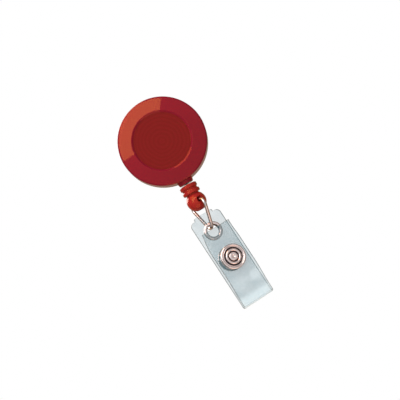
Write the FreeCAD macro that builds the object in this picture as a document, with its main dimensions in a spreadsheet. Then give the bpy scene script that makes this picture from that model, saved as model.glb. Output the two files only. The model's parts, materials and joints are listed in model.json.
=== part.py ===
import FreeCAD, Part
import math
import os
import re

import Sketcher
from FreeCAD import Placement, Rotation, Vector

# Retractable badge reel, in millimetres. A spring-driven spool turns on the post of a round
# two-shell case and winds in a thin cord. The cord carries a ridged bead, a wire link and a
# clear snap-closed strap that holds a badge. A spring-steel clip behind the case goes on a belt.
#
# Model frame: +Z up, the case's front faces -Y, the origin is on the case's axis in the middle
# of the belt slot. Case pieces are drawn in a case frame whose z points forward (-Y) from that
# origin and whose y is up. Strap pieces are drawn in a strap frame: x across, y back, z up the
# strap, with its origin in the eyelet, in the middle of the back leaf's thickness.

doc = FreeCAD.newDocument("badge_reel")
sheet = doc.addObject("Spreadsheet::Sheet", "sizes")

DRIVING = [
    ("case_radius", 16.0, "outside radius of the case"),
    ("case_depth", 10.5, "case, back face to the top of the front bevel"),
    ("case_wall", 1.1, "shell thickness"),
    ("case_edge", 0.45, "chamfer round the case's outer edges"),
    ("bevel_width", 4.65, "radial width of the front bevel"),
    ("bevel_rise", 1.25, "how far the bevel rises towards the middle"),
    ("label_radius", 10.2, "recessed label face"),
    ("label_recess", 0.6, "depth of the label face below the bevel's top"),
    ("label_slope", 0.65, "radial width of the recess wall"),
    ("lip_height", 0.8, "rear shell's lip inside the front shell"),
    ("lip_thickness", 0.5, "wall of that lip"),
    ("fit_gap", 0.05, "clearance between pieces that seat in each other"),
    ("overlap", 0.01, "overlap of shapes that are joined or cut through"),
    ("turn_gap", 0.08, "radial clearance of a turning fit"),
    ("spout_length", 1.25, "how far the cord spout stands out of the case"),
    ("spout_root_radius", 3.45, "spout where it joins the case"),
    ("spout_end_radius", 2.65, "spout at its end face"),
    ("spout_lap", 0.2, "how far the spout runs in past the inside of the case"),
    ("inner_flare_radius", 2.1, "cord's hole at its flared inner mouth"),
    ("inner_flare_depth", 1.7, "depth of that flare"),
    ("cord_radius", 0.35, "pull cord"),
    ("spout_play", 0.35, "cord's radial play in the spout"),
    ("cord_bend_radius", 1.2, "bend of the cord at the spout's flared mouth"),
    ("cord_bend_depth", 0.3, "inside of the case down to where the cord bends"),
    ("post_radius", 2.2, "centre post of the rear shell"),
    ("post_slot", 0.5, "slot in the post for the spring's inner end"),
    ("post_end_gap", 0.25, "post's end to the front shell"),
    ("boss_wall", 1.0, "ring that locates the post in the front shell"),
    ("boss_height", 0.6, "height of that ring"),
    ("rivet_radius", 1.0, "clip rivet's shank"),
    ("rivet_head_radius", 2.4, "clip rivet's head"),
    ("rivet_head_height", 0.4, "clip rivet's head"),
    ("rivet_grip", 2.1, "depth of the rivet in the post"),
    ("drum_radius", 8.7, "spool drum, outside"),
    ("drum_wall", 0.8, "spool drum"),
    ("flange_radius", 13.4, "spool flanges"),
    ("flange_thickness", 0.8, "spool flanges and web"),
    ("groove_width", 2.4, "cord groove between the flanges"),
    ("hub_wall", 1.1, "spool hub round the post"),
    ("hub_height", 0.75, "spool hub in front of the web"),
    ("spool_end_gap", 0.6, "drum's back rim to the rear shell"),
    ("web_hole_radius", 1.15, "lightening holes in the web"),
    ("web_hole_circle", 5.5, "circle of the lightening holes"),
    ("web_holes", 6, "number of lightening holes"),
    ("winding_radius", 11.5, "wound cord, outside"),
    ("anchor_radius", 0.75, "knot that anchors the cord to the spool"),
    ("anchor_offset", 1.05, "drum to the centre of the anchor hole"),
    ("spring_height", 3.8, "mainspring strip"),
    ("spring_front_gap", 0.4, "spring's front edge to the front of the cord groove"),
    ("spring_strip", 0.12, "mainspring strip's thickness"),
    ("spring_pitch", 0.36, "spacing of the packed outer coils"),
    ("spring_coils", 7, "packed outer coils"),
    ("spring_inner_pitch", 1.5, "spacing of the open inner coil"),
    ("spring_tail", 1.4, "how far the spring's inner end goes into the post"),
    ("notch_width", 1.2, "notch in the drum for the spring's outer hook"),
    ("bead_gap", 0.55, "spout's end to the bead's top"),
    ("bead_neck_radius", 2.9, "bead between its two ridges"),
    ("ridge_radius", 3.25, "bead's ridges"),
    ("ridge_thickness", 1.2, "bead's ridges"),
    ("ridge_round", 0.28, "rounding of the ridges"),
    ("first_ridge", 0.2, "bead's top to its first ridge"),
    ("ridge_spacing", 2.1, "first ridge to second ridge"),
    ("waist_radius", 2.35, "bead above its ball"),
    ("ball_radius", 3.6, "bead's ball"),
    ("ball_drop", 6.6, "bead's top to the ball's centre"),
    ("bead_play", 0.15, "cord's radial play in the bead"),
    ("knot_radius", 1.1, "knot at the cord's end"),
    ("knot_play", 0.2, "knot's play in its pocket and over the link's wire"),
    ("wire_radius", 0.6, "wire of the link"),
    ("wire_play", 0.12, "wire's radial play in the ball's cross hole"),
    ("cross_flare", 0.48, "widening of that hole at its flared mouths"),
    ("cross_flare_depth", 1.1, "depth of the flare"),
    ("link_bar", 6.8, "straight top bar of the link"),
    ("link_shoulder", 2.1, "bend radius of the link's shoulders"),
    ("link_toe", 2.2, "bend radius of the link's lower end"),
    ("link_height", 10.9, "link, top bar to lower end, wire centres"),
    ("link_offset", 0.3, "link's slide towards the back of the ball"),
    ("link_yaw", 26.0, "turn of the bead and link about the vertical, degrees"),
    ("strap_yaw", 18.0, "turn of the strap about the vertical, degrees"),
    ("strap_lean", 3.7, "swing of the strap in its own plane, degrees"),
    ("strap_width", 12.7, "strap"),
    ("strap_thickness", 0.5, "strap's vinyl"),
    ("back_leaf_top", 6.1, "eyelet's centre up to the strap's shoulders"),
    ("tab_height", 1.0, "raised middle tab of the back leaf"),
    ("tab_width", 7.8, "raised middle tab"),
    ("shoulder_round", 1.7, "rounded shoulders of the back leaf"),
    ("tab_round", 0.5, "rounded corners of the tab"),
    ("strap_drop", 29.35, "eyelet's centre down to the outside of the fold"),
    ("fold_radius", 0.75, "fold, in the middle of the vinyl"),
    ("free_end_rise", 0.45, "eyelet's centre up to the front leaf's free end"),
    ("free_end_bow", 1.4, "how far the free end stands off"),
    ("snap_drop", 11.6, "eyelet's centre down to the snap"),
    ("snap_flat", 9.4, "flat part of the front leaf at the snap"),
    ("snap_space", 0.8, "socket's top to the front leaf"),
    ("eyelet_radius", 2.2, "eyelet's hole"),
    ("eyelet_wall", 0.3, "eyelet's barrel"),
    ("eyelet_flange_radius", 3.4, "eyelet's flange"),
    ("eyelet_flange", 0.55, "eyelet's front flange, thickness"),
    ("eyelet_roll", 0.35, "eyelet's rolled back edge, thickness"),
    ("eyelet_flange_round", 0.25, "rounding of the flange"),
    ("eyelet_mouth_round", 0.29, "rounding of the eyelet's hole at both ends"),
    ("eyelet_slack", 0.42, "wire to the top of the eyelet's hole"),
    ("washer_thickness", 0.3, "eyelet's back washer"),
    ("snap_radius", 4.57, "snap's cap and ring"),
    ("snap_cap_height", 1.2, "snap's rear cap"),
    ("snap_shank_radius", 1.3, "cap's shank"),
    ("ring_shank_radius", 1.0, "ring's shank"),
    ("socket_radius", 4.2, "socket's base"),
    ("socket_base", 0.5, "socket's base, thickness"),
    ("socket_wall_radius", 2.9, "socket's raised wall, outside"),
    ("socket_bore_radius", 2.05, "socket's bore"),
    ("socket_height", 1.5, "socket"),
    ("socket_round", 0.3, "rounding of the socket's wall"),
    ("stud_flange_radius", 3.5, "stud's base"),
    ("stud_flange", 0.35, "stud's base, thickness"),
    ("stud_end_gap", 0.15, "stud's end to the socket's base"),
    ("stud_tip", 0.5, "tapered tip of the stud"),
    ("shank_past_stud", 0.6, "how far the ring's shank goes past the stud's base"),
    ("ring_rim_width", 1.1, "rolled outer rim of the snap's ring"),
    ("ring_rim_height", 0.8, "rolled outer rim"),
    ("ring_floor", 0.3, "floor of the ring's grooves"),
    ("ring_groove", 0.55, "width of the ring's outer groove"),
    ("ring_bead_width", 0.95, "raised inner ring"),
    ("ring_bead_height", 1.05, "raised inner ring"),
    ("ring_inner_groove", 0.4, "width of the inner groove"),
    ("ring_hub_height", 0.75, "ring's hub"),
    ("ring_dimple_radius", 0.6, "dimple in the hub"),
    ("ring_dimple", 0.3, "depth of the dimple"),
    ("belt_gap", 5.0, "belt slot between the clip's plate and tongue"),
    ("clip_thickness", 0.5, "belt clip's strip"),
    ("clip_width", 10.0, "belt clip's strip"),
    ("clip_plate_drop", 9.0, "clip's plate below the case's axis"),
    ("clip_rise", 12.2, "centre of the clip's top bend above the case's axis"),
    ("clip_tongue_drop", 10.0, "clip's tongue below the case's axis, before its lip"),
    ("clip_lip_radius", 3.0, "outward curl at the tongue's end"),
    ("clip_lip_angle", 45.0, "curl, degrees"),
    ("clip_corner", 2.0, "rounded corners of the clip's plate"),
]

# Places worked out from the driving sizes. Drops are measured down from the case's axis.
WORKED_OUT = [
    ("back_face", "belt_gap / 2 + clip_thickness"),
    ("front_face", "back_face + case_depth"),
    ("cord_plane", "back_face + case_depth / 2"),
    ("bevel_outer_radius", "bevel_inner_radius + bevel_width"),
    ("bevel_inner_radius", "label_radius + label_slope"),
    ("front_inside", "front_face - label_recess - case_wall"),
    ("shell_inside", "case_radius - case_wall"),
    ("lip_radius", "shell_inside - fit_gap"),
    ("rear_inside", "lip_radius - lip_thickness"),
    ("rear_floor", "back_face + case_wall"),
    ("post_top", "front_inside - post_end_gap"),
    ("spool_bore", "post_radius + turn_gap"),
    ("hub_radius", "spool_bore + hub_wall"),
    ("groove_back", "cord_plane - groove_width / 2"),
    ("groove_front", "cord_plane + groove_width / 2"),
    ("drum_back", "rear_floor + spool_end_gap"),
    ("drum_inside", "drum_radius - drum_wall"),
    ("spring_front", "groove_front - spring_front_gap"),
    ("spout_end", "case_radius + spout_length"),
    ("spout_root", "rear_inside - spout_lap"),
    ("bead_top", "spout_end + bead_gap"),
    ("ball_centre", "bead_top + ball_drop"),
    ("cord_hole_radius", "cord_radius + spout_play"),
    ("bead_hole_radius", "cord_radius + bead_play"),
    ("knot_pocket_radius", "knot_radius + knot_play"),
    ("cross_hole_radius", "wire_radius + wire_play"),
    ("cross_flare_radius", "cross_hole_radius + cross_flare"),
    ("pocket_shoulder", "ball_centre - wire_radius - knot_play - 2 * knot_radius"),
    ("knot_centre", "pocket_shoulder + knot_radius"),
    ("link_lowest", "ball_centre + link_height"),
    ("eyelet_centre", "link_lowest + eyelet_radius - wire_radius - eyelet_slack"),
    ("anchor_centre", "drum_radius + anchor_offset"),
    ("anchor_front", "groove_back - flange_thickness - anchor_radius"),
    ("fold_centre", "strap_drop - fold_radius - strap_thickness / 2"),
    ("eyelet_barrel_radius", "eyelet_radius + eyelet_wall"),
    ("eyelet_back", "eyelet_roll + washer_thickness + strap_thickness / 2"),
    ("leaf_spacing", "strap_thickness + socket_height + snap_space"),
    ("front_leaf_back", "leaf_spacing - strap_thickness / 2"),
    ("stud_height", "snap_space + socket_height - socket_base - stud_end_gap"),
    ("ring_shank", "strap_thickness + stud_flange + shank_past_stud"),
    ("ring_groove_outer", "snap_radius - ring_rim_width"),
    ("ring_bead_outer", "ring_groove_outer - ring_groove"),
    ("ring_bead_inner", "ring_bead_outer - ring_bead_width"),
    ("ring_hub_radius", "ring_bead_inner - ring_inner_groove"),
]

KNOWN = {row[0] for row in DRIVING} | {row[0] for row in WORKED_OUT}


def on_sheet(formula):
    """Writes each size's name in a formula as a reference to the sheet."""
    def reference(word):
        return f"sizes.{word[0]}" if word[0] in KNOWN else word[0]

    return re.sub(r"[a-z][a-z_]+", reference, formula)


for line, (name, value, meaning) in enumerate(DRIVING, 1):
    sheet.set(f"A{line}", meaning)
    sheet.set(f"B{line}", str(value))
    sheet.setAlias(f"B{line}", name)
for line, (name, formula) in enumerate(WORKED_OUT, len(DRIVING) + 1):
    sheet.set(f"A{line}", name.replace("_", " "))
    sheet.set(f"B{line}", "=" + formula)
    sheet.setAlias(f"B{line}", name)
doc.recompute()


def size(name):
    """The number that a named size has on the sheet."""
    return float(sheet.get(name))


# ---------------------------------------------------------------- drawing helpers

NEAR = 0.01        # places closer than this are taken as one when edges are picked
SAME = 1e-4        # and radii closer than this
TO_CASE = Rotation(Vector(1, 0, 0), 90)        # z forward, y up, as the case frame has it
BACKWARD = Rotation(Vector(1, 0, 0), -90)      # z backward
CASE_PLACE = Placement(Vector(0, 0, 0), TO_CASE)

LEAN = Rotation(Vector(0, 1, 0), -size("strap_lean"))
STRAP_TURN = Rotation(Vector(0, 0, 1), size("strap_yaw")).multiply(LEAN)
LINK_TURN = Rotation(Vector(0, 0, 1), size("link_yaw"))
CHAIN_AXIS = Vector(0, -size("cord_plane"), 0)
LINK_SHIFT = LINK_TURN.multVec(Vector(0, size("link_offset"), 0))
LINK_END = CHAIN_AXIS + LINK_SHIFT + Vector(0, 0, -size("link_lowest"))
EYELET_BELOW = STRAP_TURN.multVec(Vector(0, 0, size("link_lowest") - size("eyelet_centre")))
STRAP_PLACE = Placement(LINK_END + EYELET_BELOW, STRAP_TURN)

pieces = []


def finished(piece, label, placement=None):
    """Names a finished piece, puts it in place and adds it to the list of pieces."""
    piece.Label = label
    if placement is not None:
        piece.Placement = placement
    pieces.append(piece)
    return piece


def bind(item, field, formula):
    item.setExpression(field, on_sheet(formula))


def solid(kind, name, at=("0", "0", "0"), turn=None, **sizes):
    """A Part primitive whose sizes and place follow the sheet."""
    item = doc.addObject("Part::" + kind, name)
    item.Placement = Placement(Vector(), turn or Rotation())
    for field, formula in sizes.items():
        bind(item, field, formula)
    for letter, formula in zip("xyz", at):
        if formula != "0":
            bind(item, f"Placement.Base.{letter}", formula)
    return item


def fuse(name, *items):
    joined = doc.addObject("Part::MultiFuse", name)
    joined.Shapes = list(items)
    joined.Refine = True
    return joined


def cut(name, base, *tools):
    """Base less its tools."""
    left = doc.addObject("Part::Cut", name)
    left.Base = base
    left.Tool = tools[0] if len(tools) == 1 else fuse(name + "_tools", *tools)
    left.Refine = True
    return left


def common(name, one, other):
    shared = doc.addObject("Part::Common", name)
    shared.Base = one
    shared.Tool = other
    return shared


def round_edges(name, base, radius, wanted):
    """Rounds the edges of base for which wanted(edge) is true."""
    doc.recompute()
    rounded = doc.addObject("Part::Fillet", name)
    rounded.Base = base
    chosen = [n for n, edge in enumerate(base.Shape.Edges, 1) if wanted(edge)]
    rounded.Edges = [(n, size(radius), size(radius)) for n in chosen]
    return rounded


def is_ring(edge, radius):
    if edge.Degenerated or not isinstance(edge.Curve, Part.Circle):
        return False
    return abs(edge.Curve.Radius - radius) < SAME


def origin_plane(body, role):
    return next(item for item in body.Origin.OriginFeatures if item.Role == role)


FIRST_RADIUS = 10.0        # an outline starts as a regular polygon of this radius


def outline(sketch, corners):
    """A closed outline of straight sides. Each corner's two places are formulas."""
    count = len(corners)
    for n in range(count):
        start, end = (
            Vector(FIRST_RADIUS * math.cos(angle), FIRST_RADIUS * math.sin(angle), 0)
            for angle in (2 * math.pi * n / count, 2 * math.pi * (n + 1) / count)
        )
        sketch.addGeometry(Part.LineSegment(start, end), False)
    for n, places in enumerate(corners):
        sketch.addConstraint(Sketcher.Constraint("Coincident", n, 2, (n + 1) % count, 1))
        for kind, axis, formula in zip(("DistanceX", "DistanceY"), (-2, -1), places):
            if formula == "0":
                sketch.addConstraint(Sketcher.Constraint("PointOnObject", n, 1, axis))
                continue
            ends = (n, 1, -1, 1) if formula.startswith("-") else (-1, 1, n, 1)
            index = sketch.addConstraint(Sketcher.Constraint(kind, *ends, 1.0))
            bind(sketch, f"Constraints[{index}]", formula.lstrip("-"))


def circle(sketch, radius, across="0", up="0"):
    """A circle whose radius and centre are formulas."""
    index = sketch.addGeometry(Part.Circle(Vector(1, 1, 0), Vector(0, 0, 1), 1.0), False)
    row = sketch.addConstraint(Sketcher.Constraint("Radius", index, 1.0))
    bind(sketch, f"Constraints[{row}]", radius)
    for kind, axis, formula in (("DistanceX", -2, across), ("DistanceY", -1, up)):
        if formula == "0":
            sketch.addConstraint(Sketcher.Constraint("PointOnObject", index, 3, axis))
            continue
        ends = (index, 3, -1, 1) if formula.startswith("-") else (-1, 1, index, 3)
        row = sketch.addConstraint(Sketcher.Constraint(kind, *ends, 1.0))
        bind(sketch, f"Constraints[{row}]", formula.lstrip("-"))


def new_sketch(body, name, role):
    sketch = body.newObject("Sketcher::SketchObject", name)
    sketch.AttachmentSupport = (origin_plane(body, role), [""])
    sketch.MapMode = "FlatFace"
    return sketch


def turned(name, corners):
    """A body turned about its z axis. Corners are (radius, height) formulas."""
    body = doc.addObject("PartDesign::Body", name)
    section = new_sketch(body, name + "_section", "XZ_Plane")
    outline(section, corners)
    turning = body.newObject("PartDesign::Revolution", name + "_turning")
    turning.Profile = section
    turning.ReferenceAxis = (section, ["V_Axis"])
    turning.Angle = 360
    body.Tip = turning
    return body


def rounded_body(body, radius, wanted):
    """Adds a fillet to a body, on the edges for which wanted(edge) is true."""
    doc.recompute()
    base = body.Tip
    chosen = [f"Edge{n}" for n, edge in enumerate(base.Shape.Edges, 1) if wanted(edge)]
    fillet = body.newObject("PartDesign::Fillet", body.Name + "_round")
    fillet.Base = (base, chosen)
    bind(fillet, "Radius", radius)
    body.Tip = fillet
    return body


def trace(start, heading, moves):
    """Follows straight runs and tangent arcs in a plane.

    A move is (length, turn): turn is in radians over that length, and 0 is straight. Each step
    comes back as three points on the run, each with the heading it is passed on.
    """
    steps = []
    x, y = start
    for length, turn in moves:
        passed = [(x, y, heading)]
        for share in (0.5, 1.0):
            chord = length * share
            if turn:
                chord = 2 * length / turn * math.sin(turn * share / 2)
            aim = heading + turn * share / 2
            place = (x + chord * math.cos(aim), y + chord * math.sin(aim), heading + turn * share)
            passed.append(place)
        x, y, heading = passed[-1]
        steps.append((passed, turn))
    return steps


def side_edges(steps, offset):
    """Edges that run along the traced steps at a distance to their left."""
    edges = []
    for passed, turn in steps:
        points = [
            Vector(x - offset * math.sin(heading), y + offset * math.cos(heading), 0)
            for x, y, heading in passed
        ]
        curve = Part.Arc(*points) if turn else Part.LineSegment(points[0], points[2])
        edges.append(curve.toShape())
    return edges


def strip(start, heading, moves, thickness, width):
    """A bent strip: its section lies in the x-y plane and it is width high along z."""
    steps = trace(start, heading, moves)
    left = side_edges(steps, thickness / 2)
    right = side_edges(steps, -thickness / 2)
    ends = [
        Part.LineSegment(left[0].Vertexes[0].Point, right[0].Vertexes[0].Point).toShape(),
        Part.LineSegment(left[-1].Vertexes[-1].Point, right[-1].Vertexes[-1].Point).toShape(),
    ]
    border = Part.Wire(Part.__sortEdges__(left + right + ends))
    return Part.Face(border).extrude(Vector(0, 0, width))


def round_bar(start, heading, moves, radius):
    """A round bar, wire or cord along a traced path in the x-y plane."""
    path = Part.Wire(side_edges(trace(start, heading, moves), 0))
    along = Vector(math.cos(heading), math.sin(heading), 0)
    section = Part.Wire(Part.makeCircle(radius, Vector(*start, 0), along))
    return path.makePipeShell([section], True, False)


def feature(label, shape, placement):
    """A piece whose shape is worked out here, for bent strips, wire and cord."""
    item = doc.addObject("Part::Feature", label)
    item.Shape = shape
    return finished(item, label, placement)


# ---------------------------------------------------------------- case shells

DOWN = TO_CASE        # in the case frame this turn points a primitive's z down the case


def spout_half(name, low, height):
    """The half of the tapered cord spout that lies between two planes of the case frame."""
    taper = solid("Cone", name + "_taper", ("0", "-spout_root", "cord_plane"), DOWN,
                  Radius1="spout_root_radius", Radius2="spout_end_radius",
                  Height="spout_end - spout_root")
    side = solid("Box", name + "_side", ("-case_radius", "-2 * case_radius", low),
                 Length="2 * case_radius", Width="2 * case_radius", Height=height)
    return common(name, taper, side)


def cord_way(name):
    """The cord's hole through the spout, with a flared mouth inside the case."""
    hole = solid("Cylinder", name + "_hole", ("0", "-spout_root", "cord_plane"), DOWN,
                 Radius="cord_hole_radius", Height="case_radius")
    flare = solid("Cone", name + "_flare", ("0", "-spout_root + spout_lap", "cord_plane"), DOWN,
                  Radius1="inner_flare_radius", Radius2="cord_hole_radius",
                  Height="inner_flare_depth")
    return fuse(name, hole, flare)


front_shell = turned("front_shell", [
    ("case_radius", "cord_plane"),
    ("case_radius", "front_face - bevel_rise - case_edge"),
    ("bevel_outer_radius", "front_face - bevel_rise"),
    ("bevel_inner_radius", "front_face"),
    ("label_radius", "front_face - label_recess"),
    ("0", "front_face - label_recess"),
    ("0", "front_inside"),
    ("post_radius + fit_gap", "front_inside"),
    ("post_radius + fit_gap", "front_inside - boss_height"),
    ("post_radius + boss_wall", "front_inside - boss_height"),
    ("post_radius + boss_wall", "front_inside"),
    ("bevel_inner_radius", "front_inside"),
    ("shell_inside", "front_face - bevel_rise - case_wall"),
    ("shell_inside", "cord_plane"),
])
front_bore = solid("Cylinder", "front_bore", ("0", "0", "0"),
                   Radius="shell_inside - overlap", Height="front_inside - boss_height")
front_half = spout_half("front_spout_half", "cord_plane", "case_depth")
front_whole = fuse("front_whole", front_shell, cut("front_spout", front_half, front_bore))
finished(cut("front_cover", front_whole, cord_way("front_cord_way")), "front_cover", CASE_PLACE)

rear_shell = turned("rear_shell", [
    ("rivet_radius", "back_face"),
    ("case_radius - case_edge", "back_face"),
    ("case_radius", "back_face + case_edge"),
    ("case_radius", "cord_plane"),
    ("lip_radius", "cord_plane"),
    ("lip_radius", "cord_plane + lip_height"),
    ("rear_inside", "cord_plane + lip_height"),
    ("rear_inside", "rear_floor"),
    ("post_radius", "rear_floor"),
    ("post_radius", "post_top"),
    ("rivet_radius", "post_top"),
])
rear_bore = solid("Cylinder", "rear_bore", ("0", "0", "rear_floor"),
                  Radius="rear_inside - overlap", Height="case_depth")
rear_half = spout_half("rear_spout_half", "back_face", "case_depth / 2")
rear_whole = fuse("rear_whole", rear_shell, cut("rear_spout", rear_half, rear_bore))
spring_slot = solid("Box", "spring_slot",
                    ("0", "-post_slot / 2", "spring_front - spring_height - fit_gap"),
                    Length="2 * post_radius", Width="post_slot", Height="case_depth")
rear_cover = cut("rear_cover", rear_whole, cord_way("rear_cord_way"), spring_slot)
finished(rear_cover, "rear_cover", CASE_PLACE)

# ---------------------------------------------------------------- belt clip and rivet

clip_curl = math.radians(size("clip_lip_angle"))
clip_moves = [
    (size("clip_plate_drop") + size("clip_rise"), 0),
    (math.pi * (size("belt_gap") + size("clip_thickness")) / 2, -math.pi),
    (size("clip_rise") + size("clip_tongue_drop"), 0),
    (size("clip_lip_radius") * clip_curl, clip_curl),
]
# The clip's section has x along +Y and y along +Z of the model, and it is extruded along +X.
SIDE_SECTION = Rotation(Vector(0, 1, 0), Vector(0, 0, 1), Vector(1, 0, 0), "XYZ")
clip_start = (-(size("belt_gap") + size("clip_thickness")) / 2, -size("clip_plate_drop"))
clip_strip = strip(clip_start, math.pi / 2, clip_moves,
                   size("clip_thickness"), size("clip_width"))
rivet_tool = Part.makeCylinder(size("rivet_radius") + size("fit_gap"), size("belt_gap"),
                               Vector(-size("belt_gap"), 0, size("clip_width") / 2),
                               Vector(1, 0, 0))


def at_plate_end(edge):
    """True for the two edges through the strip's thickness at the plate's lower end."""
    box = edge.BoundBox
    through = box.XLength > size("clip_thickness") - NEAR and max(box.YLength, box.ZLength) < NEAR
    return through and box.XMax < 0 and box.YMin < NEAR - size("clip_plate_drop")


clip_corners = [edge for edge in clip_strip.Edges if at_plate_end(edge)]
clip_shape = clip_strip.makeFillet(size("clip_corner"), clip_corners).cut(rivet_tool)
feature("belt_clip", clip_shape, Placement(Vector(-size("clip_width") / 2, 0, 0), SIDE_SECTION))

finished(rounded_body(turned("clip_rivet", [
    ("0", "belt_gap / 2 - rivet_head_height"),
    ("rivet_head_radius", "belt_gap / 2 - rivet_head_height"),
    ("rivet_head_radius", "belt_gap / 2"),
    ("rivet_radius", "belt_gap / 2"),
    ("rivet_radius", "back_face + rivet_grip"),
    ("0", "back_face + rivet_grip"),
]), "rivet_head_height / 2", lambda edge: is_ring(edge, size("rivet_head_radius"))
    and edge.BoundBox.ZMax < size("belt_gap") / 2 - NEAR), "clip_rivet", CASE_PLACE)

# ---------------------------------------------------------------- spool, spring and wound cord

spool = turned("spool_turning", [
    ("spool_bore", "groove_front"),
    ("drum_inside", "groove_front"),
    ("drum_inside", "drum_back"),
    ("drum_radius", "drum_back"),
    ("drum_radius", "groove_back - flange_thickness"),
    ("flange_radius", "groove_back - flange_thickness"),
    ("flange_radius", "groove_back"),
    ("drum_radius", "groove_back"),
    ("drum_radius", "groove_front"),
    ("flange_radius", "groove_front"),
    ("flange_radius", "groove_front + flange_thickness"),
    ("hub_radius", "groove_front + flange_thickness"),
    ("hub_radius", "groove_front + flange_thickness + hub_height"),
    ("spool_bore", "groove_front + flange_thickness + hub_height"),
])
hole_sketch = new_sketch(spool, "web_hole_section", "XY_Plane")
circle(hole_sketch, "web_hole_radius", "web_hole_circle")
web_hole = spool.newObject("PartDesign::Pocket", "web_hole")
web_hole.Profile = hole_sketch
web_hole.Type = "ThroughAll"
web_hole.Reversed = True
hole_ring = spool.newObject("PartDesign::PolarPattern", "web_hole_ring")
hole_ring.Originals = [web_hole]
hole_ring.Axis = (hole_sketch, ["N_Axis"])
hole_ring.Angle = 360
bind(hole_ring, "Occurrences", "web_holes")
spool.Tip = hole_ring

# The cord's inner end goes through a small hole in the rear flange and is knotted behind it.
anchor_hole = solid("Cylinder", "anchor_hole", ("-anchor_centre", "0", "drum_back"),
                    Radius="cord_radius + fit_gap", Height="groove_back - drum_back + overlap")
spring_notch = solid("Box", "spring_notch",
                     ("-notch_width / 2", "drum_inside - drum_wall / 2", "drum_back"),
                     Length="notch_width", Width="3 * drum_wall / 2",
                     Height="spring_front + fit_gap - drum_back")
finished(cut("spool_bored", spool, anchor_hole, spring_notch), "spool", CASE_PLACE)

anchor_knot = solid("Sphere", "anchor_ball", ("-anchor_centre", "0", "anchor_front"),
                    Radius="anchor_radius")
anchor_tail = solid("Cylinder", "anchor_tail", ("-anchor_centre", "0", "anchor_front"),
                    Radius="cord_radius", Height="flange_thickness + anchor_radius")
finished(fuse("anchor", anchor_knot, anchor_tail), "cord_anchor_knot", CASE_PLACE)

winding_outside = solid("Cylinder", "winding_outside", ("0", "0", "groove_back + fit_gap"),
                        Radius="winding_radius", Height="groove_width - 2 * fit_gap")
winding_inside = solid("Cylinder", "winding_inside", ("0", "0", "groove_back"),
                       Radius="drum_radius + fit_gap", Height="groove_width")
finished(cut("winding", winding_outside, winding_inside), "cord_winding", CASE_PLACE)

# The mainspring is a spiral of half turns: packed coils against the drum, each half turn's radius
# less than the one before it, then an open coil that comes round to the post's slot and goes in.
spring_radius = size("drum_inside") - size("spring_strip") / 2 - size("turn_gap")
spring_start = spring_radius
spring_moves = []
for half_turn in range(2 * int(size("spring_coils"))):
    spring_moves.append((math.pi * spring_radius, math.pi))
    spring_radius -= size("spring_pitch") / 2
inner_radius = spring_radius - size("spring_inner_pitch") / 2
below_post = 2 * inner_radius - spring_radius
past_post = size("post_radius") + 2 * size("turn_gap")
spring_moves += [
    (math.pi * inner_radius, math.pi),
    (past_post, 0),
    (math.pi * below_post / 2, math.pi),
    (size("spring_tail"), 0),
]
spiral = strip((0, spring_start), math.pi, spring_moves,
               size("spring_strip"), size("spring_height"))
outer_hook = Part.makeBox(size("spring_strip"), size("drum_wall"), size("spring_height"),
                          Vector(-size("spring_strip"), spring_start, 0))
spring_shape = spiral.fuse(outer_hook).removeSplitter()
spring_low = size("spring_front") - size("spring_height")
spring_place = Placement(TO_CASE.multVec(Vector(0, 0, spring_low)), TO_CASE)
feature("mainspring", spring_shape, spring_place)

# ---------------------------------------------------------------- pull cord, end knot, bead

# The cord leaves the winding at a tangent, bends over the spout's flared mouth and drops
# straight down to the knot inside the bead.
mouth = size("rear_inside") + size("cord_bend_depth")
leave_radius = size("winding_radius") + size("cord_radius") + size("fit_gap")
lean_in = math.asin(leave_radius / mouth)
slant = math.sqrt(mouth ** 2 - leave_radius ** 2)
bend_reach = size("cord_bend_radius") * math.tan(lean_in / 2)
cord_start = (slant * math.sin(lean_in), slant * math.cos(lean_in) - mouth)
cord_moves = [
    (slant - bend_reach, 0),
    (size("cord_bend_radius") * lean_in, lean_in),
    (size("pocket_shoulder") - mouth - bend_reach, 0),
]
cord_shape = round_bar(cord_start, -math.pi / 2 - lean_in, cord_moves, size("cord_radius"))
feature("pull_cord", cord_shape, Placement(CHAIN_AXIS, TO_CASE))

finished(solid("Sphere", "end_knot", ("0", "-cord_plane", "-knot_centre"), Radius="knot_radius"),
         "cord_end_knot")

bead_column = solid("Cylinder", "bead_column",
                    ("0", "0", "-bead_top - first_ridge - ridge_spacing"),
                    Radius="bead_neck_radius", Height="first_ridge + ridge_spacing")
bead_waist = solid("Cylinder", "bead_waist", ("0", "0", "-ball_centre"),
                   Radius="waist_radius", Height="ball_drop - first_ridge")
bead_ball = solid("Sphere", "bead_ball", ("0", "0", "-ball_centre"), Radius="ball_radius")
bead_ridges = [
    solid("Cylinder", f"bead_ridge_{number}",
          ("0", "0", f"-bead_top - first_ridge - ridge_thickness{lower}"),
          Radius="ridge_radius", Height="ridge_thickness")
    for number, lower in ((1, ""), (2, " - ridge_spacing"))
]
bead_plain = fuse("bead_plain", bead_column, bead_waist, bead_ball, *bead_ridges)
bead_rounded = round_edges("bead_rounded", bead_plain, "ridge_round",
                           lambda edge: is_ring(edge, size("ridge_radius")))
cord_hole = solid("Cylinder", "bead_cord_hole", ("0", "0", "-ball_centre"),
                  Radius="bead_hole_radius", Height="2 * ball_drop")
knot_pocket = solid("Cylinder", "knot_pocket", ("0", "0", "-ball_centre - 2 * ball_radius"),
                    Radius="knot_pocket_radius",
                    Height="ball_centre + 2 * ball_radius - pocket_shoulder")
cross_hole = solid("Cylinder", "cross_hole", ("0", "2 * ball_radius", "-ball_centre"), TO_CASE,
                   Radius="cross_hole_radius", Height="4 * ball_radius")
front_flare = solid("Cone", "front_flare",
                    ("0", "-ball_radius + cross_flare_depth", "-ball_centre"), TO_CASE,
                    Radius1="cross_hole_radius", Radius2="cross_flare_radius",
                    Height="cross_flare_depth")
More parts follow.
